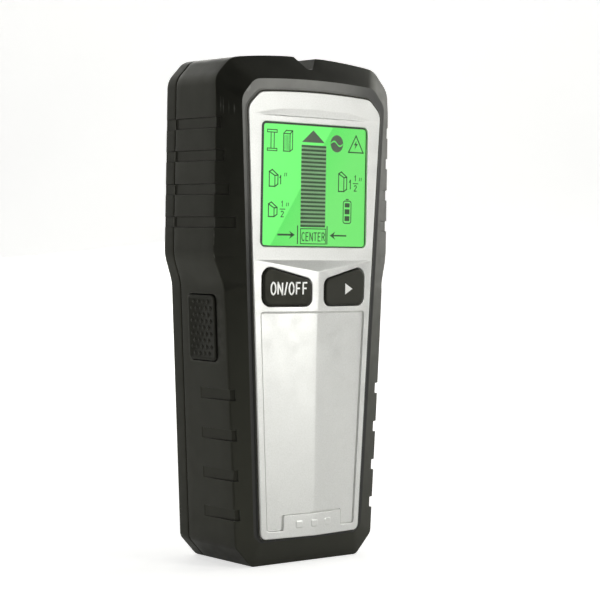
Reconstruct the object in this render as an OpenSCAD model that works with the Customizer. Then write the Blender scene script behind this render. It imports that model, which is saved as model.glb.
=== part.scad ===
// Handheld wall scanner (stud finder): two-part casing, silver front plate,
// backlit display, three push keys, sensor board and a 9 V battery with a sliding door.
// Frame: +Z runs up the tool, -Y is the front that faces the user, +Y is the side
// that glides on the wall, +X is right seen from the front.
// Origin: centre of the flat bottom end, midway between front and back.

/* [Casing] */
// Overall height at the top of the arch
body_h = 167.1; // [160:0.1:175]
// Half width of the head
head_w = 37.3; // [36:0.1:39]
// Half width of the handle just under the head
neck_w = 34.2; // [33:0.1:35.5]
// Half width of the handle above the bottom chamfer
foot_w = 29.3; // [28:0.1:31]
// Height at which the handle ends and the shoulder begins
neck_z = 92; // [88:1:94]
// Height at which the head reaches its full width
shoulder_z = 101; // [100:1:103]
// Casing wall thickness
wall = 2.4; // [2:0.1:2.8]
// Outer face of the back casing
back_y = 17.8; // [17.5:0.1:18.5]
// Plane where the front and back casings meet
seam_y = 11.9; // [11:0.1:13]
// Plane of the inner edge of the front bevel
rim_y = -15.1; // [-15.3:0.1:-14.9]

/* [Front plate] */
// Half width of the plate at the bottom of the window
plate_w = 25.95; // [25.5:0.05:26.2]
// Taper of the plate's sides, sideways per unit of height
plate_taper = 0.0533; // [0.045:0.0001:0.06]
// Plane of the plate's border
plate_y = -15.7; // [-15.9:0.1:-15.5]
// Plate thickness at the border
plate_t = 1.8; // [1.6:0.1:2]
// Height of the folded ridge over the border
ridge_h = 2.2; // [1.6:0.1:2.4]
// Depth of the lower panel below the ridge surface
panel_d = 0.7; // [0.5:0.1:1]

/* [Display] */
// Half width of the window
window_w = 22.75; // [22:0.05:23]
// Bottom of the window
window_z0 = 104.2; // [103.5:0.1:105]
// Top of the window
window_z1 = 144.7; // [144:0.1:145.5]

/* [Keys] */
// Inward travel of the two front keys
key_travel = 0.7; // [0.3:0.1:0.8]
// Inward travel of the side scan key
scan_travel = 0.8; // [0.3:0.1:1]
// Gap around each key
key_gap = 0.15; // [0.1:0.05:0.3]

/* [Battery] */
// Battery width
batt_w = 26.5; // [26:0.1:26.6]
// Battery depth
batt_d = 17.5; // [17:0.1:17.6]
// Battery body height without its terminals
batt_h = 46.4; // [46:0.1:46.6]
// Height of the battery's underside
batt_z = 10; // [9.6:0.1:10.4]

/* [Grip] */
// Depth of the grooves across the sides of the head
head_groove_d = 0.5; // [0.3:0.1:0.8]
// Depth of the grooves over the handle's front edges
handle_groove_d = 0.9; // [0.5:0.1:1.2]

/* [Hidden] */

$fn = 48;
eps = 0.01;
arc_n = 5;                        // segments in each rounded corner
far = 60;                         // longer than any part, for cutting blocks

black = [0.10, 0.10, 0.10];
silver = [0.86, 0.87, 0.87];
key_black = [0.16, 0.16, 0.16];
board_green = [0.05, 0.35, 0.18];
copper = [0.78, 0.45, 0.2];
steel = [0.72, 0.73, 0.74];

floor_y = plate_y + plate_t;      // front of the casing floor under the plate
floor_t = 1.8;
cavity_y = floor_y + floor_t;     // front end of the hollow inside
board_y = -7.6;                   // front face of the main board
board_t = 1.6;
taper_deg = atan((neck_w - foot_w) / (neck_z - 6.9));
notch_z = 162.9;                  // bottom of the marking notch
notch_w = 5;                      // half width of the notch at the top edge
notch_block = 7;                  // half width of the solid behind the notch

function plate_half(z) = plate_w + plate_taper * (z - window_z0);

// ---------- outlines in the X-Z plane ----------

function unit(v) = v / norm(v);
function xy(p) = [p.x, p.y];
function wrap(a) = a > 180 ? a - 360 : a < -180 ? a + 360 : a;

// Arc that rounds corner q between points p and s
function corner(p, q, s, r) =
    r == 0 ? [q] :
    let (a = unit(p - q), b = unit(s - q), half = acos(a * b) / 2,
         c = q + unit(a + b) * r / sin(half),
         u = q + a * r / tan(half) - c, v = q + b * r / tan(half) - c,
         a0 = atan2(u.y, u.x), da = wrap(atan2(v.y, v.x) - a0))
    [for (i = [0:arc_n]) c + r * [cos(a0 + da * i / arc_n), sin(a0 + da * i / arc_n)]];

// Closed outline from corners given as [x, z, radius]
function rounded(c) =
    [for (i = [0:len(c) - 1])
        let (n = len(c), p = c[(i + n - 1) % n], q = c[i], s = c[(i + 1) % n])
        each corner(xy(p), xy(q), xy(s), q[2])];

// Right half followed by its mirror image, bottom to top and back down
function both_sides(right) =
    concat(right, [for (i = [len(right) - 1:-1:0]) [-right[i].x, right[i].y, right[i][2]]]);

// Right half, an arch over the top, and the left half
function arched(right, top_z) =
    let (n = len(right), w = right[n - 1].x, z = right[n - 1].y)
    concat(right,
           [for (k = [2:-1:-2]) [w * k / 3, top_z - (top_z - z) * pow(k / 3, 2), 0]],
           [for (i = [n - 1:-1:0]) [-right[i].x, right[i].y, right[i][2]]]);

// Outline moved inward by d, or outward where d is negative
function inset(pts, d) =
    [for (i = [0:len(pts) - 1])
        let (n = len(pts), p = pts[(i + n - 1) % n], q = pts[i], s = pts[(i + 1) % n],
             u = unit(q - p), v = unit(s - q), a = [-u.y, u.x], b = [-v.y, v.x])
        q + d * (a + b) / (1 + a * b)];

silhouette = rounded(arched([
    [22.6, 0, 2.7], [foot_w, 6.9, 3.6], [neck_w, neck_z, 14], [head_w, shoulder_z, 14],
    [head_w - 0.2, 158.2, 6.5], [30.7, body_h - 2.1, 6.5]], body_h));

rim = rounded(arched([
    [20.6, 7.8, 2.5], [23.1, 10.3, 2.5], [plate_half(neck_z) + 2.2, neck_z, 14],
    [plate_half(shoulder_z) + 2.2, shoulder_z, 14], [30.65, 152.2, 5.5], [25.5, 158.1, 5.5]], 159.1));

plate_edge = rounded(arched([
    [plate_half(9), 9, 2.2], [plate_half(149.4), 149.4, 4.5], [23.4, 154.1, 4.5]], 155));

window_edge = rounded(both_sides([[window_w, window_z0, 1.8], [window_w, window_z1, 1.8]]));

panel_edge = rounded(both_sides([
    [12.4, 16.6, 0.6], [12.4, 11.6, 0.6], [18.6, 11.6, 0.8], [22.2, 82.9, 0.8]]));

// Plane of the outer edge of the bevel, which dips forward along the handle
function edge_y(z) =
    z > 160 ? -9.1 :
    z > 150 ? -9.9 + 0.8 * (z - 150) / 10 :
    z > shoulder_z ? -9.9 :
    z > 90 ? -9.9 - 1.8 * (shoulder_z - z) / (shoulder_z - 90) :
    -11.7 - 1.85 * pow((90 - z) / 90, 0.75);

// ---------- general shapes ----------

// Solid with an X-Z outline, from plane y0 to plane y1
module slab(pts, y0, y1) {
    translate([0, y1, 0]) rotate([90, 0, 0]) linear_extrude(y1 - y0) polygon(pts);
}

// Round bar or bore along Y, from plane y0 to plane y1
module rod(x, z, r, y0, y1) {
    translate([x, y1, z]) rotate([90, 0, 0]) cylinder(r = r, h = y1 - y0);
}

module box(x0, x1, y0, y1, z0, z1) {
    translate([x0, y0, z0]) cube([x1 - x0, y1 - y0, z1 - z0]);
}

module mirrored() {
    children();
    mirror([1, 0, 0]) children();
}

function ring3(pts, y) = [for (p = pts) [p.x, y, p.y]];

// Skin through rings of equally many points, closed at both ends
module loft(rings) {
    n = len(rings[0]);
    m = len(rings);
    sides = [for (j = [0:m - 2]) for (i = [0:n - 1])
        let (k = (i + 1) % n, a = j * n + i, b = j * n + k, c = a + n, d = b + n)
        each [[a, c, b], [b, c, d]]];
    polyhedron([for (r = rings) each r],
               concat([[for (i = [0:n - 1]) i]], [[for (i = [n - 1:-1:0]) (m - 1) * n + i]], sides));
}

// Straight mix of two matching outlines
function mix(a, b, t) = [for (i = [0:len(a) - 1]) a[i] * (1 - t) + b[i] * t];

// Frame on the handle's left wall: local +X points into the casing, normal to the wall
scan_z = 77.65;
scan_y = 0.2;
scan_x = foot_w + (scan_z - 6.9) * tan(taper_deg);
module scan_frame() {
    translate([-scan_x, scan_y, scan_z]) rotate([0, -taper_deg, 0]) children();
}

// Rounded block in the scan frame: w along Y, h along Z, from depth x0 to x1
module scan_block(w, h, r, x0, x1) {
    translate([x0, 0, 0]) rotate([90, 0, 90]) linear_extrude(x1 - x0) union() {
        square([w - 2 * r, h], center = true);
        square([w, h - 2 * r], center = true);
        for (sx = [-1, 1], sy = [-1, 1])
            translate([sx * (w / 2 - r), sy * (h / 2 - r)]) circle(r);
    }
}

// ---------- casing ----------

boss_r = 3.2;
seam_c = 0.3;                     // chamfer on both sides of the seam
screw_places = [[30, 153.5], [29.6, 97], [22.5, 10.3]];
standoffs = [[28.8, 141], [28.8, 109], [20.2, 75.5]];

// height of each groove and the share of the bevel that it crosses
head_grooves = [[143.7, 0.2], [133.2, 0.34], [122.4, 0.5], [111.8, 0.7]];
handle_grooves = [56.3, 43.2, 30.2, 17.4];

module notch() {
    slab([[-notch_w, body_h + 0.2], [-1.3, notch_z + 0.3], [-0.5, notch_z],
          [0.5, notch_z], [1.3, notch_z + 0.3], [notch_w, body_h + 0.2]], -far, far);
}

// Groove across the side of the head that runs on over a share of the bevel
module head_groove(z, share) {
    w = head_w;
    e = edge_y(z);
    run_x = (w - plate_half(z) - 2.2) * share;
    run_y = (e - rim_y) * share;
    mirrored() translate([0, 0, z - 1.7]) linear_extrude(3.4) polygon([
        [w + 2, back_y + 1], [w - head_groove_d, back_y + 1], [w - head_groove_d, e],
        [w - run_x - head_groove_d / 2, e - run_y + head_groove_d / 3],
        [w - run_x, e - run_y - 0.6], [w + 2, e - 3]]);
}

// Groove over the front edge of the handle that fades out on the side wall
module handle_groove(z) {
    w = foot_w + (z - 6.9) * tan(taper_deg);
    e = edge_y(z);
    run_x = (w - plate_half(z) - 2.2) * 0.3;
    run_y = (e - rim_y) * 0.3;
    mirrored() translate([0, 0, z - 1.75]) linear_extrude(3.5) polygon([
        [w + 2, 2.6], [w - 0.2, 2.6], [w - handle_groove_d, e + 1],
        [w - run_x - 0.3, e - run_y + 0.3], [w - run_x, e - run_y - 0.8], [w + 2, e - 3]]);
}

module grooves() {
    for (g = head_grooves) head_groove(g[0], g[1]);
    for (z = handle_grooves) handle_groove(z);
}

// Slice of a shape between two planes, so that each cut end is one flat face
module between(y0, y1) {
    intersection() {
        children();
        box(-far, far, y0, y1, -far, far * 4);
    }
}

// Ring a little past b on the straight lines from a to b
function past(a, b) = [for (i = [0:len(a) - 1]) a[i] + 1.1 * (b[i] - a[i])];

module front_outer() {
    edge = [for (p = silhouette) [p.x, edge_y(p.y) + 1, p.y]];
    fold = [for (i = [0:len(silhouette) - 1])
        let (p = mix(silhouette, rim, 0.13)[i], y = edge_y(silhouette[i].y))
        [p.x, y + 0.13 * (rim_y - y), p.y]];
    between(-far, seam_y) loft([
        ring3(inset(silhouette, 2 * seam_c), seam_y + seam_c),
        ring3(silhouette, seam_y - seam_c), edge, fold, ring3(rim, rim_y)]);
}

module front_hollow() {
    inner = inset(silhouette, wall);
    bend = [for (i = [0:len(inner) - 1])
        [inner[i].x, max(edge_y(silhouette[i].y) + 1.2, cavity_y + 0.3), inner[i].y]];
    loft([ring3(inner, seam_y + 1), bend, ring3(inset(rim, 1.3), cavity_y)]);
}

module front_shell() {
    color(black) difference() {
        union() {
            difference() {
                front_outer();
                front_hollow();
            }
            slab(inset(plate_edge, -1), rim_y - 0.4, rim_y + 1);
            intersection() {
                union() {
                    mirrored() for (p = screw_places) rod(p.x, p.y, boss_r, cavity_y - 1, 10.2);
                    box(-notch_block, notch_block, cavity_y - 1, seam_y, 160, body_h);
                }
                front_outer();
            }
            mirrored() for (p = standoffs) rod(p.x, p.y, 2.4, cavity_y - 0.5, board_y);
        }
        slab(inset(plate_edge, -0.12), -far, floor_y);
        slab([[-lcd_w - 1.9, 101.9], [lcd_w + 1.9, 101.9], [lcd_w + 1.9, 147.2],
              [-lcd_w - 1.9, 147.2]], -far, cavity_y + 1);
        mirrored() slab(inset(key_edge, -1.2), -far, cavity_y + 1);
        difference() {
            slab(inset(silhouette, wall - 1.1), seam_y - 1.2, seam_y + 1);
            box(-notch_block, notch_block, 0, far, 150, far * 3);
        }
        mirrored() for (p = screw_places) rod(p.x, p.y, 1.3, -3, far);
        mirrored() for (p = standoffs) rod(p.x, p.y, 1.05, -11.5, far);
        scan_frame() scan_block(15.0, 21.9, 1.8, -4, wall + 1.5);
        notch();
        grooves();
    }
}

// Battery bay walls, inside faces
bay_w = batt_w / 2 + 0.6;
bay_y = -3.4;
bay_z0 = 8.8;
bay_z1 = 66;
door_w = 17;
door_z0 = 0.4;
door_z1 = 68;
door_t = 1.8;

module rear_outer() {
    bend = ring3(inset(silhouette, 0.4), back_y - 0.4);
    between(seam_y + eps, back_y) loft([
        past(bend, ring3(inset(silhouette, 1.4), back_y)), bend,
        ring3(silhouette, back_y - 1.4), ring3(silhouette, seam_y + seam_c),
        ring3(inset(silhouette, 2 * seam_c), seam_y - seam_c)]);
}

module rear_shell() {
    inner = inset(silhouette, wall);
    color(black) difference() {
        union() {
            difference() {
                rear_outer();
                slab(inner, 0, back_y - 2);
            }
            // tongue that fits the rebate in the front casing
            difference() {
                slab(inset(silhouette, wall - 1), seam_y - 1.1, seam_y + 1);
                slab(inner, 0, far);
                box(-notch_block - 0.2, notch_block + 0.2, 0, seam_y + eps, 150, far * 3);
            }
            intersection() {
                union() {
                    box(-notch_block, notch_block, seam_y + eps, back_y - 1, 160, 166);
                    box(-door_w - 2.6, door_w + 2.6, back_y - door_t - 1.8, back_y - 1, 1, 70);
                    mirrored() for (p = screw_places)
                        rod(p.x, p.y, boss_r, 10.4, back_y - 1);
                    // heat-staked posts that carry the sensor board
                    for (x = [-25, 25], z = [108, 143]) {
                        rod(x, z, 2.3, sense_y + sense_t + eps, back_y - 1);
                        rod(x, z, 1.3, sense_y - 0.8, back_y - 1);
                    }
                }
                slab(inset(silhouette, 1.5), 0, far);
            }
            box(-bay_w - 1.5, bay_w + 1.5, bay_y - 1.5, back_y - 1, bay_z0 - 1.5, bay_z1 + 1.5);
        }
        box(-bay_w, bay_w, bay_y, far, bay_z0, bay_z1);
        // door recess with a rail groove along each side, open at the bottom end
        box(-door_w - 0.1, door_w + 0.1, back_y - door_t - 0.1, far, -1, door_z1 + 0.1);
        box(-door_w - 1.1, door_w + 1.1, back_y - door_t - 0.1, back_y - 0.9, -1, door_z1 - 2.9);
        for (x = [-3, 3]) translate([x, 6, bay_z1 - 1]) cylinder(r = 1.1, h = 4);
        mirrored() for (p = screw_places) {
            rod(p.x, p.y, 1.5, 0, far);
            rod(p.x, p.y, 2.7, 13.6, far);
        }
        notch();
        grooves();
    }
}

module battery_door() {
    y0 = back_y - door_t;
    color(black) difference() {
        union() {
            box(-door_w, door_w, y0, back_y, door_z0, door_z1);
            box(-door_w - 1, door_w + 1, y0, back_y - 1, door_z0, door_z1 - 3);
        }
        // thumb scoop with grip ribs left standing
        for (k = [0:4]) box(-7 + k, 7 - k, back_y - 0.6, far, 53 + 2 * k, 54.1 + 2 * k);
    }
}

module glide_pads() {
    color([0.25, 0.25, 0.26]) for (z = [104.5, 149.5])
        slab(rounded(both_sides([[25, z - 3, 2], [25, z + 3, 2]])), back_y, back_y + 0.5);
}

// ---------- front plate and keys ----------

// Body under the folded front surface, moved back by d
module folded_body(d) {
    union() {
        box(-far, far, plate_y + d, 0, -1, body_h);
        intersection() {
            translate([0, d, -1]) linear_extrude(body_h) polygon([
                [-fold_w, plate_y + eps], [0, plate_y - ridge_h], [fold_w, plate_y + eps]]);
            translate([-far, d, 0]) rotate([90, 0, 90]) linear_extrude(2 * far) polygon([
                [0, -1], [0, 100], [plate_y, 100], [plate_y - ridge_h, 96.2],
                [plate_y - ridge_h - 1, 94.4], [plate_y - ridge_h - 1, -1]]);
        }
    }
}
fold_w = plate_half(90);

key_edge = rounded([[2.9, 85.1, 2.4], [21.7, 85.1, 3], [21.9, 98.1, 3], [2.9, 93.5, 2.6]]);

module face_plate() {
    color(silver) difference() {
        union() {
            intersection() {
                slab(plate_edge, -far, floor_y);
                folded_body(0);
            }
            // three small thumb pips on the tab below the panel
            intersection() {
                for (k = [-1:1]) slab(rounded([
                    [6.1 * k - 1.3, 12.1, 0.5], [6.1 * k + 1.3, 12.1, 0.5],
                    [6.1 * k + 1.3, 14.3, 0.5], [6.1 * k - 1.3, 14.3, 0.5]]), -far, floor_y);
                folded_body(-0.35);
            }
        }
        slab(window_edge, -far, far);
        // pocket that holds the display glass behind a thin lip
        box(-lcd_w - 0.1, lcd_w + 0.1, glass_y - 0.02, far, lcd_z0 - 0.1, lcd_z1 + 0.1);
        mirrored() slab(inset(key_edge, -key_gap), -far, far);
        difference() {
            slab(panel_edge, -far, 0);
            folded_body(panel_d);
        }
        // shallow ledge above the window
        slab([[-25, 146.9], [25, 146.9], [15, 148.9], [0, 149.3], [-15, 148.9]], -far, plate_y + 0.25);
    }
}

key_proud = 0.7;
module key(label_side) {
    flange_y = floor_y + 0.05;
    mirror([label_side < 0 ? 1 : 0, 0, 0]) {
        intersection() {
            slab(key_edge, -far, flange_y + 0.4);
            folded_body(-key_proud);
        }
        slab(inset(key_edge, -0.9), flange_y, flange_y + 0.8);
        rod(key_x, key_z, 2, flange_y, plunger_y - 0.01);
    }
}
key_x = 12.3;
key_z = 90.6;
switch_y = board_y - 3.5;
plunger_y = switch_y - key_travel - 0.25;

module power_button() color(key_black) key(-1);
module mode_button() color(key_black) key(1);

module plunger(x) {
    color([0.2, 0.2, 0.2]) rod(x, key_z, 1.7, plunger_y, plunger_y + 2.3);
}
module power_plunger() plunger(-key_x);
module mode_plunger() plunger(key_x);

module key_switches() {
    color(steel) mirrored() difference() {
        box(key_x - 3, key_x + 3, switch_y, board_y, key_z - 3, key_z + 3);
        rod(key_x, key_z, 1.75, -far, switch_y + 2.4);
    }
}

scan_post_y = -3 - scan_y;        // middle of the side switch
scan_sw_x = 6.4;                  // front of the side switch, measured in from the wall
scan_plunger_x = scan_sw_x - scan_travel - 0.15;
module scan_button() {
    color(key_black) scan_frame() {
        scan_block(14.4, 21.3, 1.6, -0.7, wall + 0.1);
        scan_block(16.4, 23.3, 1.8, wall + 0.05, wall + 1.05);
        translate([wall + 1, scan_post_y, 0]) rotate([0, 90, 0])
            cylinder(r = 1.9, h = scan_plunger_x - 0.01 - wall - 1);
        // diamond pattern of grip pips
        for (i = [0:6]) for (j = [0:2])
            translate([-1, 3.6 * (j - 1) + (i % 2) * 1.8 - 0.9, 2.6 * (i - 3)])
                rotate([0, 90, 0]) cylinder(r1 = 0.4, r2 = 0.7, h = 0.4);
    }
}

module scan_plunger() {
    color([0.2, 0.2, 0.2]) scan_frame() translate([scan_plunger_x, scan_post_y, 0])
        rotate([0, 90, 0]) cylinder(r = 1.7, h = 2.2);
}

module scan_switch() {
    color(steel) scan_frame() difference() {
        translate([scan_sw_x, board_y + board_t - scan_y, -3]) cube([3.8, 6, 6]);
        translate([0, scan_post_y, 0]) rotate([0, 90, 0]) cylinder(r = 1.75, h = scan_sw_x + 2.4);
    }
}

// ---------- display ----------

lcd_w = 23.6;
lcd_z0 = 103.4;
lcd_z1 = 145.7;
glass_y = plate_y + 0.7;
lcd_t = 1.2;
guide_t = 2.4;

module display_window() {
    color([0.8, 0.9, 0.9, 0.3]) slab(inset(window_edge, 0.05), plate_y + 0.2, glass_y - 0.01);
}

module lcd_glass() {
    color([0.45, 1, 0.45]) box(-lcd_w, lcd_w, glass_y, glass_y + lcd_t, lcd_z0, lcd_z1);
}

module lcd_backlight() {
    y0 = glass_y + lcd_t + 0.05;
    color([0.9, 1, 0.9]) box(-lcd_w + 1, lcd_w - 1, y0, y0 + guide_t, lcd_z0 + 3.4, lcd_z1);
}

module lcd_frame() {
    color([0.92, 0.92, 0.9]) difference() {
        box(-lcd_w - 1.6, lcd_w + 1.6, floor_y + 0.02, board_y, lcd_z0 - 1.3, lcd_z1 + 1.3);
        box(-lcd_w - 0.1, lcd_w + 0.1, -far, glass_y + lcd_t + 0.02, lcd_z0 - 0.1, lcd_z1 + 0.1);
        box(-lcd_w + 0.9, lcd_w - 0.9, -far, glass_y + lcd_t + guide_t + 0.1,
            lcd_z0 + 3.3, lcd_z1 + 0.1);
        box(-lcd_w + 2, lcd_w - 2, -far, far, lcd_z0 + 0.3, lcd_z0 + 2.3);
        box(-20, 20, glass_y + lcd_t + guide_t, far, lcd_z0 + 8, lcd_z1 - 4);
    }
}

module zebra_strip() {
    color([0.3, 0.3, 0.32])
        box(-lcd_w + 2.1, lcd_w - 2.1, glass_y + lcd_t + 0.02, board_y - 0.02,
            lcd_z0 + 0.4, lcd_z0 + 2.2);
}

module backlight_leds() {
    y1 = board_y - 0.02;
    color([1, 1, 0.8]) for (x = [-12, 0, 12]) box(x - 1.6, x + 1.6, y1 - 1.4, y1, 132, 133.6);
}

// ---------- boards and electronics ----------

board_edge = rounded(both_sides([
    [27, 71, 1], [27, 92, 1], [25.2, 93.5, 0], [25.2, 101.5, 1], [32, 104, 1], [32, 147, 1],
    [25.6, 149, 1], [25.6, 157, 1]]));

module main_board() {
    color(board_green) difference() {
        slab(board_edge, board_y, board_y + board_t);
        mirrored() for (p = standoffs) rod(p.x, p.y, 1.15, -far, far);
    }
}

module board_screws() {
    y = board_y + board_t;
    color(steel) mirrored() for (p = standoffs) {
        rod(p.x, p.y, 1, y - 4.6, y + 0.1);
        difference() {
            rod(p.x, p.y, 1.9, y, y + 1.2);
            translate([p.x, y + 1.2, p.y]) {
                cube([2.4, 1.2, 0.5], center = true);
                cube([0.5, 1.2, 2.4], center = true);
            }
        }
    }
}

module processor_chip() {
    y = board_y + board_t;
    translate([0, y, 118]) {
        color([0.12, 0.12, 0.13]) box(-5, 5, 0.1, 1.5, -5, 5);
        color(steel) for (a = [0:90:270]) rotate([0, a, 0])
            for (k = [-4:4]) box(4.9, 6.2, 0.02, 0.3, k - 0.2, k + 0.2);
    }
}

module capacitors() {
    y = board_y + board_t + 0.02;
    color([0.2, 0.2, 0.35]) for (x = [-20, -13]) rod(x, 84, 2.5, y, y + 5.5);
}

module buzzer() {
    y = board_y + board_t + 0.02;
    color(black) difference() {
        rod(17, 86, 6, y, y + 4.5);
        rod(17, 86, 1, y + 3.5, far);
    }
}

sense_y = 13.4;
sense_t = 1.2;

module sensor_board() {
    color(board_green) difference() {
        slab(rounded(both_sides([[28, 104, 1], [28, 147, 1], [22, 149, 1], [22, 157, 1]])),
             sense_y, sense_y + sense_t);
        for (x = [-25, 25], z = [108, 143]) rod(x, z, 1.4, -far, far);
    }
}

module sensor_electrodes() {
    y = sense_y + sense_t;
    color(copper) for (k = [-1:1])
        slab(rounded([[k * 16 - 7, 112, 1], [k * 16 + 7, 112, 1], [k * 16 + 7, 140, 1],
                      [k * 16 - 7, 140, 1]]), y + 0.01, y + 0.2);
}

// Ring about the Y axis at the centre of the head
module coil_ring(r0, r1, y0, y1) {
    translate([0, y1, 126]) rotate([90, 0, 0]) rotate_extrude() translate([r0, 0])
        square([r1 - r0, y1 - y0]);
}

module coil_former() {
    color([0.93, 0.9, 0.8]) union() {
        coil_ring(10.5, 12, 8.2, sense_y - 0.02);
        coil_ring(12 - eps, 16.5, 8.2, 9.2);
        coil_ring(12 - eps, 16.5, sense_y - 1.02, sense_y - 0.02);
    }
}

module metal_coil() {
    color(copper) coil_ring(12.05, 15.8, 9.25, sense_y - 1.07);
}

// Ribbon cable between the two boards, with a slack bow in the middle
cable_z = 151;
cable_w = 4;
cable_t = 0.5;
socket_h = 2.5;
module sensor_cable() {
    y0 = board_y + board_t + socket_h + 0.04;
    run = sense_y - socket_h - 0.04 - y0;
    n = 20;
    bow = [for (i = [0:n]) [y0 + run * i / n, cable_z + 2.4 * pow(sin(180 * i / n), 2)]];
    color([0.75, 0.75, 0.78]) translate([-cable_w, 0, 0]) rotate([90, 0, 90])
        linear_extrude(2 * cable_w) polygon(concat(
            [for (p = bow) p - [0, cable_t / 2]],
            [for (i = [n:-1:0]) bow[i] + [0, cable_t / 2]]));
}

module cable_sockets() {
    color([0.95, 0.95, 0.9]) for (y = [board_y + board_t + 0.02, sense_y - 0.02 - socket_h])
        box(-cable_w - 1, cable_w + 1, y, y + socket_h, cable_z - 1.5, cable_z + 1.5);
}

// ---------- battery ----------

batt_y0 = bay_y + 1.1;
post_x = 6.35;
post_y = batt_y0 + batt_d / 2;

module battery_case() {
    color([0.15, 0.16, 0.2]) translate([0, post_y, batt_z]) linear_extrude(batt_h) union() {
        square([batt_w - 4, batt_d], center = true);
        square([batt_w, batt_d - 4], center = true);
        for (sx = [-1, 1], sy = [-1, 1])
            translate([sx * (batt_w / 2 - 2), sy * (batt_d / 2 - 2)]) circle(2);
    }
}

module battery_terminals() {
    z = batt_z + batt_h;
    color(steel) {
        translate([post_x, post_y, z]) cylinder(r = 2.9, h = 2.1);
        translate([-post_x, post_y, z]) difference() {
            cylinder(r = 4.3, h = 2.1);
            translate([0, 0, 0.4]) cylinder(r = 3.1, h = 3);
        }
    }
}

module snap_connector() {
    z = batt_z + batt_h + 2.15;
    color(black) difference() {
        translate([0, post_y, z]) linear_extrude(3) union() {
            square([26, 9], center = true);
            square([21, 12], center = true);
        }
        for (x = [-3, 3]) translate([x, 6, z + 1]) cylinder(r = 0.85, h = 4);
    }
}

module snap_contacts() {
    z = batt_z + batt_h + 2.14;
    color(steel) {
        translate([post_x, post_y, z - 1.6]) difference() {
            cylinder(r = 4, h = 1.6);
            translate([0, 0, -1]) cylinder(r = 2.95, h = 3.1 - eps);
        }
        translate([-post_x, post_y, z - 1.6]) cylinder(r = 3, h = 1.6);
    }
}

// Insulated wire: up from the snap connector, round a bend and forward to the board
module wire(x, z_top) {
    z0 = batt_z + batt_h + 3.2;
    bend = 3;
    end_y = board_y + board_t + 0.02;
    translate([x, 6, z0]) cylinder(r = 0.8, h = z_top - bend - z0);
    translate([x, 6 - bend, z_top - bend]) rotate([90, 0, 90]) rotate_extrude(angle = 90)
        translate([bend, 0]) circle(0.8);
    rod(x, z_top, 0.8, end_y, 6 - bend);
}
module wire_red() color([0.8, 0.1, 0.1]) wire(3, 75);
module wire_black() color([0.08, 0.08, 0.08]) wire(-3, 75);

module battery_pad() {
    color([0.3, 0.3, 0.32]) box(-8, 8, bay_y + 0.02, bay_y + 1.05, 18, 46);
}

module casing_screws() {
    y = 13.62;
    color(steel) mirrored() for (p = screw_places) {
        rod(p.x, p.y, 1.25, y - 11.6, y + 0.1);
        difference() {
            rod(p.x, p.y, 2.4, y, y + 1.7);
            translate([p.x, y + 1.7, p.y]) {
                cube([3, 1.8, 0.6], center = true);
                cube([0.6, 1.8, 3], center = true);
            }
        }
    }
}

front_shell();
rear_shell();
face_plate();
display_window();
lcd_glass();
lcd_backlight();
lcd_frame();
zebra_strip();
backlight_leds();
main_board();
power_button();
mode_button();
power_plunger();
mode_plunger();
key_switches();
scan_button();
scan_plunger();
scan_switch();
processor_chip();
capacitors();
buzzer();
sensor_board();
sensor_electrodes();
metal_coil();
coil_former();
sensor_cable();
cable_sockets();
battery_case();
battery_terminals();
snap_connector();
snap_contacts();
wire_red();
wire_black();
battery_pad();
battery_door();
glide_pads();
casing_screws();
board_screws();
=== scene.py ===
"""Looks of the handheld wall scanner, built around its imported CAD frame.

Sizes are in millimetres and become metres when a mesh is made. The frame is the
CAD frame: +Z up the tool, -Y the front, +Y the wall side, origin at the bottom end.
"""
import math

import bmesh
import bpy
import numpy as np
from mathutils import Matrix, Vector
from mathutils.geometry import delaunay_2d_cdt


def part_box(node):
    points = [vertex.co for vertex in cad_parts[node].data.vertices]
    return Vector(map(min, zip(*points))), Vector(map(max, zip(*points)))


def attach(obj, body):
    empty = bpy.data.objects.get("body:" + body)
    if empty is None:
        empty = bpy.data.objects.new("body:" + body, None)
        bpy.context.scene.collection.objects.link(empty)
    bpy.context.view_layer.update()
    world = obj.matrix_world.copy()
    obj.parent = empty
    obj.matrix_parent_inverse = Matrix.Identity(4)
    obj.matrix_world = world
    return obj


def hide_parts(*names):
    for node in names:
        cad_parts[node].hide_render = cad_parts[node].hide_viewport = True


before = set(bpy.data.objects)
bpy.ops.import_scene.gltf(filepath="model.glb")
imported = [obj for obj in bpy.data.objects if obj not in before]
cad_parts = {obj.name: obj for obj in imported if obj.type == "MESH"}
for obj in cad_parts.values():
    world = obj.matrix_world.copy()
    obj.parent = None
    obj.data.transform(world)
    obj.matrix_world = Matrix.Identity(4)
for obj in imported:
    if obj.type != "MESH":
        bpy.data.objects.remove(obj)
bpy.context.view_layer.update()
MM = 0.001


def box_mm(node):
    low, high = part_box(node)
    return np.array(low) / MM, np.array(high) / MM


# ---------- driving sizes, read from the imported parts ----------

front_high = box_mm("front_shell")[1]
rear_high = box_mm("rear_shell")[1]
plate_low, plate_high = box_mm("face_plate")
glass_low, glass_high = box_mm("lcd_glass")

BODY_H = 167.1                    # top of the arch, which the notch cuts away
HEAD_W = front_high[0]            # half width of the head
NECK_W, FOOT_W = 34.2, 29.3       # half widths at the top and bottom of the handle
NECK_Z, SHOULDER_Z = 92.0, 101.0
BACK_Y = rear_high[1]             # outer face of the back casing
SEAM_Y = front_high[1]            # joint plane of the two casings
RIM_Y = -15.1                     # plane of the ring between the bevel and the plate
LIP_Y = -15.5                     # top of the thin lip round the plate
FLOOR_Y = plate_high[1]           # underside of the front plate
PLATE_Y = -15.7                   # border of the front plate
RIDGE_H = PLATE_Y - plate_low[1]  # height of the folded ridge over the border
WALL = 2.4
NOTCH_Z = 162.9                   # bottom of the marking notch


def plate_half(z):
    """Half width of the front plate at height z."""
    return 25.95 + 0.0533 * (z - 104.2)


# ---------- outlines in the X-Z plane ----------

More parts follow.
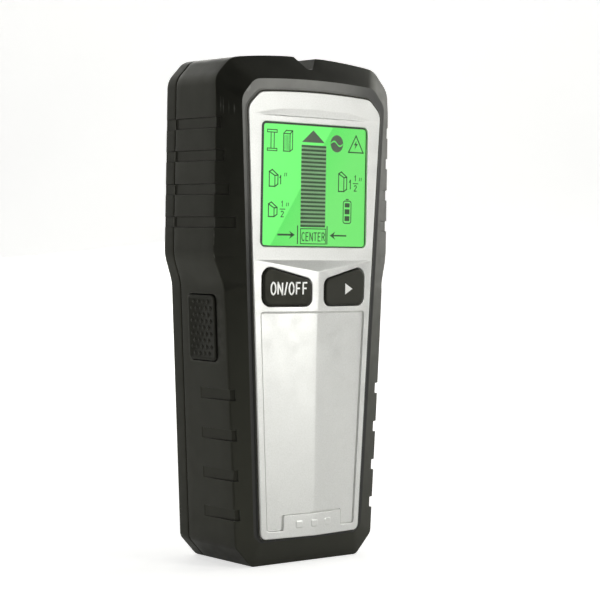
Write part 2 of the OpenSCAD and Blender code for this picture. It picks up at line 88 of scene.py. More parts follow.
def unit(v):
    return v / np.maximum(np.linalg.norm(v, axis=-1, keepdims=True), 1e-9)


def arc_corner(p, q, s, radius, steps=12):
    """Points of the arc that rounds corner q between p and s."""
    p, q, s = (np.array(v[:2], float) for v in (p, q, s))
    if radius == 0:
        return np.repeat(q[None], steps + 1, 0)
    a, b = unit(p - q), unit(s - q)
    half = math.acos(float(np.clip(a @ b, -1, 1))) / 2
    centre = q + unit(a + b) * radius / math.sin(half)
    u = q + a * radius / math.tan(half) - centre
    v = q + b * radius / math.tan(half) - centre
    start = math.atan2(u[1], u[0])
    turn = (math.atan2(v[1], v[0]) - start + math.pi) % (2 * math.pi) - math.pi
    t = start + turn * np.linspace(0, 1, steps + 1)
    return centre + radius * np.stack([np.cos(t), np.sin(t)], 1)


def rounded(corners, steps=8):
    """Closed outline from corners given as (x, z, radius)."""
    n = len(corners)
    return np.concatenate([
        arc_corner(corners[i - 1], corners[i], corners[(i + 1) % n], corners[i][2], steps)
        for i in range(n)])


def both_sides(right):
    return right + [(-x, z, r) for x, z, r in reversed(right)]


def mirrored(right):
    """Closed loop from its right half, whose two ends lie on the centre line."""
    return np.concatenate([right, (right[1:-1] * [-1, 1])[::-1]])


def offset(loop, d):
    """Closed loop, counterclockwise, moved inward by d."""
    before, after = np.roll(loop, 1, 0), np.roll(loop, -1, 0)
    u, v = unit(loop - before), unit(after - loop)
    a, b = np.stack([-u[:, 1], u[:, 0]], 1), np.stack([-v[:, 1], v[:, 0]], 1)
    return loop + d * (a + b) / (1 + (a * b).sum(1, keepdims=True))


def inward(loop):
    """Inward unit normal at each point of a closed counterclockwise loop."""
    t = unit(np.roll(loop, -1, 0) - np.roll(loop, 1, 0))
    return np.stack([-t[:, 1], t[:, 0]], 1)


def resampled(loop, step):
    """The loop with long sides divided into pieces no longer than step."""
    out = []
    for p, q in zip(loop, np.roll(loop, -1, 0)):
        n = max(1, int(math.ceil(np.linalg.norm(q - p) / step)))
        out += [p + (q - p) * k / n for k in range(n)]
    return np.array(out)


def inside(points, loop):
    """True for each 2-D point that lies inside the closed loop."""
    x, y = points[:, 0], points[:, 1]
    hit = np.zeros(len(points), bool)
    for (x0, y0), (x1, y1) in zip(loop, np.roll(loop, -1, 0)):
        if y0 != y1:
            across = (y0 > y) != (y1 > y)
            hit ^= across & (x < (x1 - x0) * (y - y0) / (y1 - y0) + x0)
    return hit


# ---------- materials ----------

def feed(tree, made, inputs):
    """Sets the inputs of a shader node to values, or wires them to other nodes' outputs."""
    for name, value in inputs.items():
        if isinstance(value, bpy.types.NodeSocket):
            tree.links.new(value, made.inputs[name])
        else:
            made.inputs[name].default_value = value


def shader(tree, kind, inputs=None, **settings):
    """Makes a shader node with its settings and inputs, and gives back its outputs."""
    made = tree.nodes.new("ShaderNode" + kind)
    for name, value in settings.items():
        setattr(made, name, value)
    feed(tree, made, inputs or {})
    return made.outputs


def spread(tree, value, low, high, start=0.3, end=0.7, curve="LINEAR"):
    """Maps start..end onto low..high, and holds the ends."""
    return shader(tree, "MapRange", {"Value": value, "From Min": start, "From Max": end,
                                   "To Min": low, "To Max": high}, interpolation_type=curve)["Result"]


def blended(tree, share, a, b):
    return shader(tree, "Mix", {"Factor": share, "A": a, "B": b}, data_type="RGBA")["Result"]


def product(tree, a, b):
    return shader(tree, "Math", {0: a, 1: b}, operation="MULTIPLY")["Value"]


def product_plus(tree, a, b, extra):
    return shader(tree, "Math", {0: a, 1: b, 2: extra}, operation="MULTIPLY_ADD")["Value"]


def place_on(tree):
    """The object's own coordinates, split into X, Y and Z."""
    return shader(tree, "SeparateXYZ", {"Vector": shader(tree, "TexCoord")["Object"]})


def material(name, colour, roughness=0.5, metallic=0.0, grain=0.0, grain_size=0.4, spots=0.06,
             edge_wear_and_glint=0.0, edge_wear_and_glint_colour=(0.3, 0.3, 0.3), coat=0.0, flake=0.0, specular=0.5,
             tint=(1, 1, 1)):
    """Principled finish with mottled colour and roughness, fine grain bump and lighter convex edges, which
    are painted edge highlights where the black casing and the ring use them.
    """
    m = bpy.data.materials.new(name)
    m.use_nodes = True
    tree = m.node_tree
    coords = shader(tree, "TexCoord")["Object"]

    def noise(size_mm, detail=3.0):
        return shader(tree, "TexNoise", {"Vector": coords, "Scale": 1000.0 / size_mm,
                                       "Detail": detail})["Fac"]

    dark = (*(c * (1 - spots) for c in colour), 1)
    light = (*(min(1, c * (1 + spots)) for c in colour), 1)
    base = blended(tree, spread(tree, noise(9.0), 0, 1), dark, light)
    if flake:
        base = blended(tree, spread(tree, noise(0.45, 2.0), 0, flake), base, (1, 1, 1, 1))
    # lighter convex edges broken up by noise: painted edge highlights on the black casing and the ring
    if edge_wear_and_glint:
        edge = spread(tree, shader(tree, "NewGeometry")["Pointiness"], 0, edge_wear_and_glint, 0.52, 0.62)
        lighter_edges = product(tree, edge, spread(tree, noise(2.5), 0, 1))
        base = blended(tree, lighter_edges, base, (*edge_wear_and_glint_colour, 1))
    bump = shader(tree, "Bump", {"Strength": 1.0, "Distance": grain * MM, "Height": noise(grain_size)})
    feed(tree, tree.nodes["Principled BSDF"], {
        "Base Color": base, "Metallic": metallic, "Specular IOR Level": specular,
        "Specular Tint": (*tint, 1), "Coat Weight": coat, "Coat Roughness": 0.12,
        "Roughness": spread(tree, noise(5.0, 4.0), roughness - 0.05, roughness + 0.05),
        "Normal": bump["Normal"]})
    return m


GLOW_BRIGHT = (0.16, 0.95, 0.17, 1)     # left of the slanting sheen line
GLOW_SHADE = (0.10, 0.76, 0.11, 1)      # just right of it
GLOW_PALE = (0.16, 0.77, 0.15, 1)       # at the lower right
SLANT = -0.6585                         # lean of the sheen line, which falls to the lower left


def lcd_material():
    """Backlit green display: glow in three tones, split by a painted sheen that makes it brighter left of a
    slanting line, with fine dot grain.
    """
    m = material("lcd_green", (0.02, 0.10, 0.025), 0.35, grain=0.004, grain_size=0.3, spots=0.04)
    tree = m.node_tree
    place = place_on(tree)
    # painted sheen: which side of the slanting line a point lies on picks its tone of glow
    across = spread(tree, product_plus(tree, place["Z"], SLANT, place["X"]), 0, 1, -0.0972, -0.0672)
    ramp = tree.nodes.new("ShaderNodeValToRGB")
    feed(tree, ramp, {"Fac": across})
    stops = ramp.color_ramp.elements
    stops[0].position, stops[0].color = 0.33, GLOW_BRIGHT
    stops[1].position, stops[1].color = 0.35, GLOW_SHADE
    stops.new(0.9).color = GLOW_PALE
    feed(tree, tree.nodes["Principled BSDF"], {"Emission Color": ramp.outputs["Color"],
                                               "Emission Strength": 1.0})
    return m


def window_material():
    """Clear cover: lets light straight through and adds a faint smudged reflection in front."""
    m = bpy.data.materials.new("clear_window")
    m.use_nodes = True
    tree = m.node_tree
    tree.nodes.remove(tree.nodes["Principled BSDF"])
    smudge = shader(tree, "TexNoise", {"Vector": shader(tree, "TexCoord")["Object"], "Scale": 130,
                                     "Detail": 4})["Fac"]
    bump = shader(tree, "Bump", {"Distance": 0.002 * MM, "Height": smudge})["Normal"]
    gloss = shader(tree, "BsdfGlossy", {"Roughness": spread(tree, smudge, 0.04, 0.16, 0, 1),
                                        "Normal": bump})
    clear = shader(tree, "BsdfTransparent", {"Color": (0.97, 0.98, 0.97, 1)})
    back = shader(tree, "NewGeometry")["Backfacing"]
    outside = shader(tree, "Math", {0: 1.0, 1: back}, operation="SUBTRACT")["Value"]
    shine = product(tree, shader(tree, "Fresnel", {"IOR": 1.15})["Fac"], outside)
    both = shader(tree, "MixShader", {"Fac": shine, 1: clear["BSDF"], 2: gloss["BSDF"]})
    feed(tree, tree.nodes["Material Output"], {"Surface": both["Shader"]})
    return m


def ring_material():
    """Coarse ring texture: near black low down and on the right, with a painted sheen of grey at the upper
    left, where light falls, and painted highlights along its edges.
    """
    m = material("ring_texture", (0.27, 0.27, 0.255), 0.5, grain=0.05, grain_size=0.55, spots=0.15,
                 edge_wear_and_glint=0.7, edge_wear_and_glint_colour=(0.55, 0.55, 0.53))
    tree = m.node_tree
    place = place_on(tree)
    # mask of the painted sheen: grey high up and on the left, near black elsewhere
    high = spread(tree, place["Z"], 0, 1, 0.09, 0.152, "SMOOTHSTEP")
    left = spread(tree, place["X"], 1.0, 0.25, 0.008, 0.027, "SMOOTHSTEP")
    colour = tree.nodes["Principled BSDF"].inputs["Base Color"]
    painted_sheen_grey = colour.links[0].from_socket
    tree.links.new(blended(tree, product(tree, high, left), (0.012, 0.012, 0.0105, 1), painted_sheen_grey), colour)
    return m


WARM = (1, 1, 0.8)                # tint of the sheen on the black plastics

M = {
    # black plastic: its lighter convex edges are painted edge highlights
    "black_plastic": material("black_plastic", (0.0104, 0.0106, 0.0092), 0.42, grain=0.008,
                              grain_size=0.5, edge_wear_and_glint=0.8, edge_wear_and_glint_colour=(0.16, 0.16, 0.15), tint=WARM),
    "rear_plastic": material("rear_plastic", (0.0115, 0.0117, 0.0102), 0.46, grain=0.012, grain_size=0.5,
                             spots=0.1, tint=WARM),
    "ring_texture": ring_material(),
    "silver_paint": material("silver_paint", (0.80, 0.805, 0.785), 0.36, metallic=0.55, grain=0.006,
                             grain_size=0.35, spots=0.015, flake=0.35),
    "key_plastic": material("key_plastic", (0.014, 0.0142, 0.0125), 0.5, grain=0.02, grain_size=0.35,
                            specular=0.35, tint=WARM, edge_wear_and_glint=0.3, edge_wear_and_glint_colour=(0.07, 0.07, 0.066)),
    "key_print": material("key_print", (0.95, 0.95, 0.93), 0.42, metallic=0.45, grain=0.004, spots=0.03),
    "lcd_segment": material("lcd_segment", (0.035, 0.115, 0.035), 0.5, grain=0.003, spots=0.1),
    "lcd_grey": material("lcd_grey", (0.13, 0.19, 0.12), 0.5, grain=0.003, spots=0.1),
    "lcd_pale": material("lcd_pale", (0.34, 0.66, 0.33), 0.5, grain=0.003, spots=0.05),
    "lcd_ghost": material("lcd_ghost", (0.05, 0.30, 0.06), 0.5, grain=0.003, spots=0.1),
    # dark border round the display, partly painted shadow of the window's edge
    "border_and_painted_shadow": material("border_and_painted_shadow", (0.02, 0.025, 0.02), 0.35, grain=0.003),
    "light_guide": material("light_guide", (0.75, 0.9, 0.75), 0.3, grain=0.003),
    "white_plastic": material("white_plastic", (0.78, 0.78, 0.75), 0.45, grain=0.01),
    "black_rubber": material("black_rubber", (0.03, 0.03, 0.03), 0.75, grain=0.02),
    "led_body": material("led_body", (0.9, 0.88, 0.6), 0.35, grain=0.003),
    "circuit_board": material("circuit_board", (0.015, 0.13, 0.06), 0.4, grain=0.01, coat=0.3),
    "steel": material("steel", (0.62, 0.62, 0.63), 0.3, metallic=1.0, grain=0.006, grain_size=0.3),
    "chip_black": material("chip_black", (0.02, 0.02, 0.022), 0.5, grain=0.008),
    "capacitor_sleeve": material("capacitor_sleeve", (0.03, 0.03, 0.10), 0.35, grain=0.004),
    "copper": material("copper", (0.75, 0.36, 0.16), 0.32, metallic=1.0, grain=0.01, grain_size=0.3),
    "ribbon_grey": material("ribbon_grey", (0.45, 0.45, 0.47), 0.5, grain=0.02, grain_size=0.8),
    "battery_jacket": material("battery_jacket", (0.02, 0.022, 0.035), 0.28, grain=0.004, spots=0.12),
    "red_insulation": material("red_insulation", (0.55, 0.02, 0.02), 0.45, grain=0.006),
    "foam": material("foam", (0.06, 0.06, 0.065), 0.95, grain=0.12, grain_size=0.7),
    "felt": material("felt", (0.045, 0.045, 0.048), 0.98, grain=0.15, grain_size=0.35, spots=0.25),
    "lcd_green": lcd_material(),
    "clear_window": window_material(),
}


# ---------- mesh pieces ----------

def mesh_object(name, verts, faces):
    """An object from millimetre points, linked to the scene."""
    mesh = bpy.data.meshes.new(name)
    mesh.from_pydata((np.asarray(verts, float) * MM).tolist(), [], [list(map(int, f)) for f in faces])
    obj = bpy.data.objects.new(name, mesh)
    bpy.context.scene.collection.objects.link(obj)
    return obj


def piece(name, verts, faces, body, finish, replaces=(), sharp=32, weld=0.0):
    """A mesh piece in the row frame, from millimetre points, that rides on a CAD body."""
    obj = mesh_object(name, verts, faces)
    obj.data.validate()
    obj.data.materials.append(M[finish])
    settle(obj, sharp, weld)
    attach(obj, body)
    if replaces:
        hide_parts(*replaces)
    return obj


def turn_outward(mesh, weld=0.0):
    """Welds close points and turns the faces outward."""
    bm = bmesh.new()
    bm.from_mesh(mesh)
    if weld:
        bmesh.ops.remove_doubles(bm, verts=bm.verts, dist=weld * MM)
    bmesh.ops.recalc_face_normals(bm, faces=bm.faces)
    bm.to_mesh(mesh)
    bm.free()


def settle(obj, sharp, weld=0.0):
    """Turns faces outward and shades smooth up to an angle."""
    turn_outward(obj.data, weld)
    obj.data.polygons.foreach_set("use_smooth", [True] * len(obj.data.polygons))
    obj.data.set_sharp_from_angle(angle=math.radians(sharp))


def grid_faces(rows, columns, wrap_rows=False):
    """Quads over a grid whose columns always close on themselves."""
    faces = []
    for j in range(rows if wrap_rows else rows - 1):
        a, b = j * columns, ((j + 1) % rows) * columns
        faces += [(a + i, a + (i + 1) % columns, b + (i + 1) % columns, b + i)
                  for i in range(columns)]
    return faces


def tube_faces(rows, columns):
    """Quads over a grid whose first and last rows are closed by a face each."""
    end = rows * columns
    return grid_faces(rows, columns) + [tuple(range(columns)), tuple(range(end - 1, end - columns - 1, -1))]


def ring3(loop, y):
    """An X-Z loop placed at depth y, which may vary round the loop."""
    return np.stack([loop[:, 0], np.broadcast_to(y, len(loop)), loop[:, 1]], 1)


def fillet(corner, a, b, radius, steps=6):
    """Rows of points that round each corner between unit directions a and b."""
    half = np.arccos(np.clip((a * b).sum(1), -1, 1)) / 2
    centre = corner + unit(a + b) * (radius / np.sin(half))[:, None]
    reach = (radius / np.tan(half))[:, None]
    u, v = corner + a * reach - centre, corner + b * reach - centre
    turn = (math.pi - 2 * half)[:, None]
    return [centre + (np.sin((1 - t) * turn) * u + np.sin(t * turn) * v) / np.sin(turn)
            for t in np.linspace(0, 1, steps + 1)]


# ---------- casing outlines as matching stations ----------

# middle height of each groove on the head, and how far it runs over the bevel
HEAD_GROOVES = [(143.7, 0.2), (133.2, 0.34), (122.4, 0.5), (111.8, 0.7)]
HANDLE_GROOVES = [56.3, 43.2, 30.2, 17.4]
HANDLE_REACH = 0.3
GROOVE_HALF = 1.7                 # half height of a groove
HEAD_GROOVE_D, HANDLE_GROOVE_D = 0.5, 0.9
SIDE_GROOVE_D = 0.09              # faint run of the handle grooves over the side wall
SIDE_GROOVE_Y = 2.6               # where that run ends

SILHOUETTE = [(22.6, 0, 2.7), (FOOT_W, 6.9, 3.6), (NECK_W, NECK_Z, 14), (HEAD_W, SHOULDER_Z, 14),
              (HEAD_W - 0.2, 158.2, 6.5), (30.7, BODY_H - 2.1, 6.5)]
RIM = [(20.6, 7.8, 2.5), (23.1, 10.3, 2.5), (plate_half(NECK_Z) + 2.2, NECK_Z, 14),
       (plate_half(SHOULDER_Z) + 2.2, SHOULDER_Z, 14), (30.65, 152.2, 5.5), (25.5, 158.1, 5.5)]
PLATE = [(plate_half(9), 9, 2.2), (plate_half(149.4), 149.4, 4.5), (23.4, 154.1, 4.5)]
RIM_TOP, PLATE_TOP = 159.1, 155   # tops of the arches that close them
PLATE_Z = PLATE[0][1]             # bottom edge of the plate


def arch(corner, top, xs):
    """Points on the shallow arch between a corner and the top, at the given x."""
    w, z = corner[:2]
    return [(x, top - (top - z) * (x / w) ** 2) for x in xs]


def corner_arc(line, top, i):
    """Rounded corner i on the right half of a casing outline."""
    last = len(line) - 1
    before = (-line[0][0], line[0][1]) if i == 0 else line[i - 1]
    after = arch(line[last], top, [line[last][0] * 2 / 3])[0] if i == last else line[i + 1]
    return arc_corner(before, line[i], after, line[i][2], 6 if i in (2, 3) else 12)


def fine_steps(a, b, places, half, step=1.6):
    """Values from a to b, packed closely at the two edges of each groove."""
    marks = [a + (b - a) * k / max(1, round(abs(b - a) / step))
             for k in range(max(1, round(abs(b - a) / step)) + 1)]
    for p in places:
        for e in (p - half, p + half):
            marks += [e + d for d in (-0.45, -0.22, -0.1, 0, 0.1, 0.22, 0.45)]
    low, high = min(a, b), max(a, b)
    marks = sorted({round(m, 4) for m in marks if low <= m <= high})
    kept = [marks[0]]
    for m in marks[1:]:
        if m - kept[-1] > 0.08:
            kept.append(m)
    return kept


def station_pairs():
    """Matching points of silhouette and rim on the right half, bottom to top."""
    both = ((SILHOUETTE, BODY_H), (RIM, RIM_TOP))
    arcs = [[corner_arc(line, top, i) for line, top in both] for i in range(len(RIM))]

    def run(a, b, fractions):
        a, b = np.array(a), np.array(b)
        return [tuple(a + (b - a) * t) for t in fractions]

    def level(i, z):
        """Both outlines' points at height z on the straight side after corner i."""
        out = []
        for line, _ in both:
            (x0, z0), (x1, z1) = line[i][:2], line[i + 1][:2]
            out.append(np.array([x0 + (x1 - x0) * (z - z0) / (z1 - z0), z]))
        return tuple(out)

    def first(i):
        return [a[0] for a in arcs[i]]

    def last(i):
        return [a[-1] for a in arcs[i]]

    def arc(i):
        return list(zip(*arcs[i]))

    def straight(i, z_low, z_high, places):
        """Side between corners i and i + 1, level between the two heights."""
        steps = [(z - z_low) / (z_high - z_low)
                 for z in fine_steps(z_low, z_high, places, GROOVE_HALF)]
        low, high = level(i, z_low), level(i, z_high)
        return (run(last(i), low, np.linspace(0, 1, 5)[1:-1]) + run(low, high, steps)
                + run(high, first(i + 1), np.linspace(0, 1, 5)[1:-1]))

    pairs = run(((0, 0), (0, RIM[0][1])), first(0), np.linspace(0, 1, 14)[:-1])
    pairs += arc(0) + run(last(0), first(1), np.linspace(0, 1, 6)[1:-1]) + arc(1)
    pairs += straight(1, 14.5, 88, HANDLE_GROOVES)
    pairs += arc(2) + run(last(2), first(3), np.linspace(0, 1, 8)[1:-1]) + arc(3)
    pairs += straight(3, 104.5, 147, [g[0] for g in HEAD_GROOVES])
    pairs += arc(4) + run(last(4), first(5), np.linspace(0, 1, 10)[1:-1]) + arc(5)
    # the arch, with points packed closely over the notch
    near = [float(x) for x in np.arange(6.0, 0, -0.15)] + [0.0]
    arches = [arch(line[5], top, list(np.linspace(end[0], 6.0, 16)[1:]) + near[1:])
              for (line, top), end in zip(both, last(5))]
    return pairs + [(np.array(p), np.array(q)) for p, q in zip(*arches)]


def closed_loops():
    """Full silhouette and rim loops, counterclockwise from the bottom centre."""
    pairs = station_pairs()
    right = [np.array([p[k] for p in pairs]) for k in (0, 1)]
    return [mirrored(h) for h in right]


def mirrored_plate_loop(steps=12):
    """Closed outline of the front plate."""
    top = arch(PLATE[2], PLATE_TOP, [PLATE[2][0] * 2 / 3])[0]
    line = [(-20, PLATE_Z), *PLATE, top]
    right = np.concatenate([arc_corner(line[i - 1], line[i], line[i + 1], line[i][2], steps)
                            for i in (1, 2, 3)])
    xs = np.linspace(right[-1][0], 0, 24)[1:]
    right = np.concatenate([[[0, PLATE_Z]], right, np.array(arch(PLATE[2], PLATE_TOP, xs))])
    return mirrored(right)


def edge_y(z):
    """Depth of the outer edge of the bevel, which dips forward along the handle."""
    z = np.asarray(z, float)
    low = -11.7 - 1.85 * np.power(np.clip((90 - z) / 90, 0, 1), 0.75)
    return np.select([z > 160, z > 150, z > SHOULDER_Z, z > 90],
                     [-9.1, -9.9 + 0.08 * (z - 150), -9.9, -9.9 - 1.8 * (SHOULDER_Z - z) / 11], low)


def edge_radius(z):
    """Radius of the outer edge of the bevel: crisp on the head and foot, softer on the handle."""
    return np.interp(z, [3, 14, 88, 104], [0.4, 0.75, 0.75, 0.4])


def smooth_min(a, b, k):
    h = np.clip(0.5 + 0.5 * (b - a) / k, 0, 1)
    return b * (1 - h) + a * h - k * h * (1 - h)


def notch_height(x):
    """Height of the marking notch's walls above each x."""
    x = np.abs(x)
    profile = np.interp(x, [0, 0.5, 1.3, 5.0, 6.0], [NOTCH_Z, NOTCH_Z, NOTCH_Z + 0.3, 167.35, 168.6])
    return np.where(x > 6.0, 1e3, profile)


def cut_notch(rows):
    """Drops every point that stands above the notch onto its walls."""
    out = rows.copy()
    out[..., 2] = smooth_min(rows[..., 2], notch_height(rows[..., 0]), 0.35)
    return out


def band(z, middle, half, soft=0.1):
    """1 between the two edges of a groove and 0 outside, with soft shoulders."""
    t = np.clip((half + soft / 2 - np.abs(z - middle)) / soft, 0, 1)
    return t * t * (3 - 2 * t)


def groove_depth(z, y, share):
    """Depth of the grip grooves at height z and depth y. share runs over the bevel from 0."""
    depth = np.zeros_like(z)
    for middle, reach in HEAD_GROOVES:
        run = np.clip((reach - share) / 0.02, 0, 1)
        depth += HEAD_GROOVE_D * band(z, middle, GROOVE_HALF) * run
    edge = edge_y(z)
    ahead = SIDE_GROOVE_Y - y
    fade = np.clip(ahead / (SIDE_GROOVE_Y - 1 - edge), 0, 1)
    side = SIDE_GROOVE_D * np.clip(ahead / 0.15, 0, 1) + (HANDLE_GROOVE_D - SIDE_GROOVE_D) * fade
    over = np.where(share > 0, HANDLE_GROOVE_D - 0.35 * share / HANDLE_REACH, side)
    over = over * np.clip((HANDLE_REACH - share) / 0.02, 0, 1)
    for middle in HANDLE_GROOVES:
        depth += over * band(z, middle, GROOVE_HALF + 0.05)
    return depth


def row_normals(rows, columns_inward, inward_y=0.4):
    """Unit normals of a grid of rows, turned to point into the casing."""
    across = np.roll(rows, -1, 1) - np.roll(rows, 1, 1)
    down = np.gradient(rows, axis=0)
    n = unit(np.cross(across, down))
    inner = np.stack([columns_inward[:, 0], np.full(len(columns_inward), inward_y),
                      columns_inward[:, 1]], 1)
    return n * np.sign((n * inner[None]).sum(-1, keepdims=True))


# rounded lips of the parting line, as depth in from the wall and distance from the joint plane
SEAM_ROUND = [(0.5, 0.02), (0.28, 0.06), (0.1, 0.18), (0.02, 0.34), (0, 0.55)]

silhouette, rim = closed_loops()
silhouette[:, 1] = np.minimum(silhouette[:, 1], front_high[2])
side_in = inward(silhouette)


def hollow_loop(d):
    """Silhouette moved in by d, kept clear of the solid block behind the notch."""
    loop = silhouette + side_in * d
    block = np.abs(loop[:, 0]) < 7
    loop[block, 1] = np.minimum(loop[block, 1], 160)
    return loop


def matched_plate_loop(outline):
    """For each rim column, the point of the plate's outline that lies across the ring."""
    def lengths(loop):
        return np.concatenate([[0], np.cumsum(np.linalg.norm(np.diff(loop, axis=0), axis=1))])
    half = len(rim) // 2 + 1
    right_rim = rim[:half]
    dense = resampled(outline, 0.15)
    dense = dense[:np.argmax(dense[:, 1]) + 1]
    rim_s, dense_s = lengths(right_rim), lengths(dense)

    def nearest(points, mark):
        return np.abs(points - mark).sum(1).argmin()

    rim_marks = [0] + [nearest(right_rim, RIM[i][:2]) for i in (0, 1, 4, 5)] + [half - 1]
    low, side, shoulder = (corner[:2] for corner in PLATE)
    marks = [(0, low[1]), (low[0] - 2.0, low[1]), (low[0], low[1] + 2.0), side, shoulder, (0, PLATE_TOP)]
    dense_marks = [nearest(dense, m) for m in marks]
    s = np.interp(rim_s, rim_s[rim_marks], dense_s[dense_marks])
    return mirrored(np.stack([np.interp(s, dense_s, dense[:, k]) for k in (0, 1)], 1))


TAPER = math.atan((NECK_W - FOOT_W) / (NECK_Z - 6.9))
SCAN_Y, SCAN_Z = 0.2, 77.65       # middle of the side key
SCAN_W, SCAN_H = 14.4, 21.3       # its width and height
SCAN_GAP = 0.35                   # gap round it in the side wall
SCAN_X = FOOT_W + (SCAN_Z - 6.9) * math.tan(TAPER)


def scan_to_frame(points):
    """Points given as depth in from the wall, along Y, and up the wall, moved to the frame."""
    p = np.asarray(points, float)
    c, s = math.cos(TAPER), math.sin(TAPER)
    return np.stack([-SCAN_X + p[:, 0] * c - p[:, 2] * s, SCAN_Y + p[:, 1],
                     SCAN_Z + p[:, 0] * s + p[:, 2] * c], 1)


def sideways(solid):
    """A solid made along Y, turned to run in from the side wall."""
    verts, faces = solid
    return verts[:, [1, 0, 2]], faces


def upright(solid):
    """A solid made along Y, turned to stand along Z."""
    verts, faces = solid
    return verts[:, [0, 2, 1]], faces


def scan_outline(w, h, corner):
    """Rounded upright rectangle round the middle of the side key."""
    return rounded([(w / 2, -h / 2, corner), (w / 2, h / 2, corner),
                    (-w / 2, h / 2, corner), (-w / 2, -h / 2, corner)], 8)


# ---------- casing ----------

def front_casing():
    """Front casing: side walls, bevel, textured ring, thin lip and recess for the plate."""
    n = len(silhouette)
    corner = ring3(silhouette, edge_y(silhouette[:, 1]))
    rim3 = ring3(rim, RIM_Y)
    slope = unit(rim3 - corner)
    back = np.tile([0.0, 1.0, 0.0], (n, 1))
    rim_in = inward(rim)
    flat_in = np.stack([rim_in[:, 0], np.zeros(n), rim_in[:, 1]], 1)
    edge_arc = fillet(corner, back, slope, edge_radius(silhouette[:, 1]))
    rim_arc = fillet(rim3, -slope, flat_in, 0.45, 4)
    # side wall, from the seam forward to the start of the edge radius
    seam = [ring3(silhouette + side_in * d, SEAM_Y - back_off) for d, back_off in SEAM_ROUND]
    depths = [9, 6, 3.2, 2.8, 2.7, 2.6, 2.5, 2.4, 2.0, 0, -3, -6]
    top = edge_arc[0][:, 1]
    side = [ring3(silhouette, np.maximum(y, top + 0.02 * (y + 7))) for y in depths]
    groove_ends = {round(reach + d, 4) for reach in (*(g[1] for g in HEAD_GROOVES), HANDLE_REACH)
                   for d in (-0.022, -0.012, 0.002)}
    shares = sorted(set(np.round(np.linspace(0, 1, 52), 4)) | groove_ends)
    start, end = edge_arc[-1], rim_arc[0]
    slope_rows = [start + (end - start) * t for t in shares[1:-1]]
    outer = np.array(seam + side + edge_arc + slope_rows + rim_arc)
    share = np.clip(((outer - corner) * slope).sum(-1) / np.linalg.norm(rim3 - corner, axis=1), 0, 1)
    share[:len(seam) + len(side)] = 0
    depth = groove_depth(outer[..., 2], outer[..., 1], share)
    outer = outer + row_normals(outer, side_in) * depth[..., None]
    outer = cut_notch(outer)
    # ring band, lip and recess wall round the plate
    plate = matched_plate_loop(mirrored_plate_loop())
    plate_in = inward(plate)

    def lip(d, y):
        return ring3(plate - plate_in * d, y)

    ring = [rim_arc[-1] * (1 - t) + lip(1.0, RIM_Y) * t for t in np.linspace(0, 1, 6)[1:]]
    lips = [lip(0.94, RIM_Y - 0.06), lip(0.58, LIP_Y + 0.14), lip(0.5, LIP_Y + 0.04), lip(0.42, LIP_Y),
            lip(0.3, LIP_Y), lip(0.2, LIP_Y + 0.04), lip(0.13, LIP_Y + 0.14), lip(0.12, LIP_Y + 0.4)]
    recess = [lip(0.12, FLOOR_Y), lip(-1.2, FLOOR_Y), lip(-1.2, FLOOR_Y + 1.8)]
    inner_bevel = ring3(rim + rim_in * 1.3, FLOOR_Y + 1.8)
    bend = ring3(hollow_loop(WALL), np.maximum(edge_y(silhouette[:, 1]) + 1.2, FLOOR_Y + 2.1))
    inner = [inner_bevel, bend]
    inner += [ring3(hollow_loop(d), SEAM_Y - 1.3) for d in (WALL, 1.4)]
    rows = [r for r in outer] + ring + lips + recess + inner
    rows.append(cut_notch(ring3(silhouette + side_in * 1.25, SEAM_Y - 0.02)))
    verts = np.concatenate(rows)
    obj = piece("front_case", verts, grid_faces(len(rows), n, True), "housing", "black_plastic",
                replaces=("front_shell",), sharp=40)
    # the flat ring between bevel and lip has a coarser texture of its own
    obj.data.materials.append(M["ring_texture"])
    # the rounded rim and the lip take this material too, so they get its painted edge highlights
    first_ring = (len(outer) - 3) * n
    index = np.zeros(len(obj.data.polygons), np.int32)
    index[first_ring:first_ring + (len(ring) + 5) * n] = 1
    obj.data.polygons.foreach_set("material_index", index)
    hole = scan_outline(SCAN_W + 2 * SCAN_GAP, SCAN_H + 2 * SCAN_GAP, 1.9)
    verts, faces = sideways(prism(hole, -3, WALL + 1))
    cut_through(obj, (scan_to_frame(verts), faces), 40)
    return obj


def prism(loop, y0, y1):
    """Closed prism over an X-Z loop."""
    return np.concatenate([ring3(loop, y0), ring3(loop, y1)]), tube_faces(2, len(loop))


def block(x0, x1, y0, y1, z0, z1):
    return prism(np.array([[x0, z0], [x1, z0], [x1, z1], [x0, z1]]), y0, y1)


def disc(x, z, r, y0, y1, steps=48):
    t = np.linspace(0, 2 * math.pi, steps, endpoint=False)
    return prism(np.stack([x + r * np.cos(t), z + r * np.sin(t)], 1), y0, y1)


def cut(obj, cutters):
    """The mesh of an object after the cutters, each given as points and faces, are taken out."""
    tools = [mesh_object("tool", *c) for c in cutters]
    for tool in tools:
        turn_outward(tool.data)
        m = obj.modifiers.new("cut", "BOOLEAN")
        m.operation, m.solver, m.object = "DIFFERENCE", "EXACT", tool
    graph = bpy.context.evaluated_depsgraph_get()
    mesh = bpy.data.meshes.new_from_object(obj.evaluated_get(graph))
    obj.modifiers.clear()
    for tool in tools:
        bpy.data.objects.remove(tool)
    return mesh


def carved(solid, cutters):
    """Points in millimetres and faces of a solid after the cutters are taken out."""
    target = mesh_object("target", *solid)
    turn_outward(target.data)
    mesh = cut(target, cutters)
    bpy.data.objects.remove(target)
    return np.array([v.co for v in mesh.vertices]) / MM, [tuple(p.vertices) for p in mesh.polygons]


def cut_through(obj, solid, sharp):
    """Cuts an opening through a finished piece, which keeps its materials."""
    obj.data = cut(obj, [solid])
    settle(obj, sharp)


def joined(parts):
    verts, faces, base = [], [], 0
    for v, f in parts:
        verts.append(np.asarray(v, float))
        faces += [tuple(i + base for i in g) for g in f]
        base += len(v)
    return np.concatenate(verts), faces


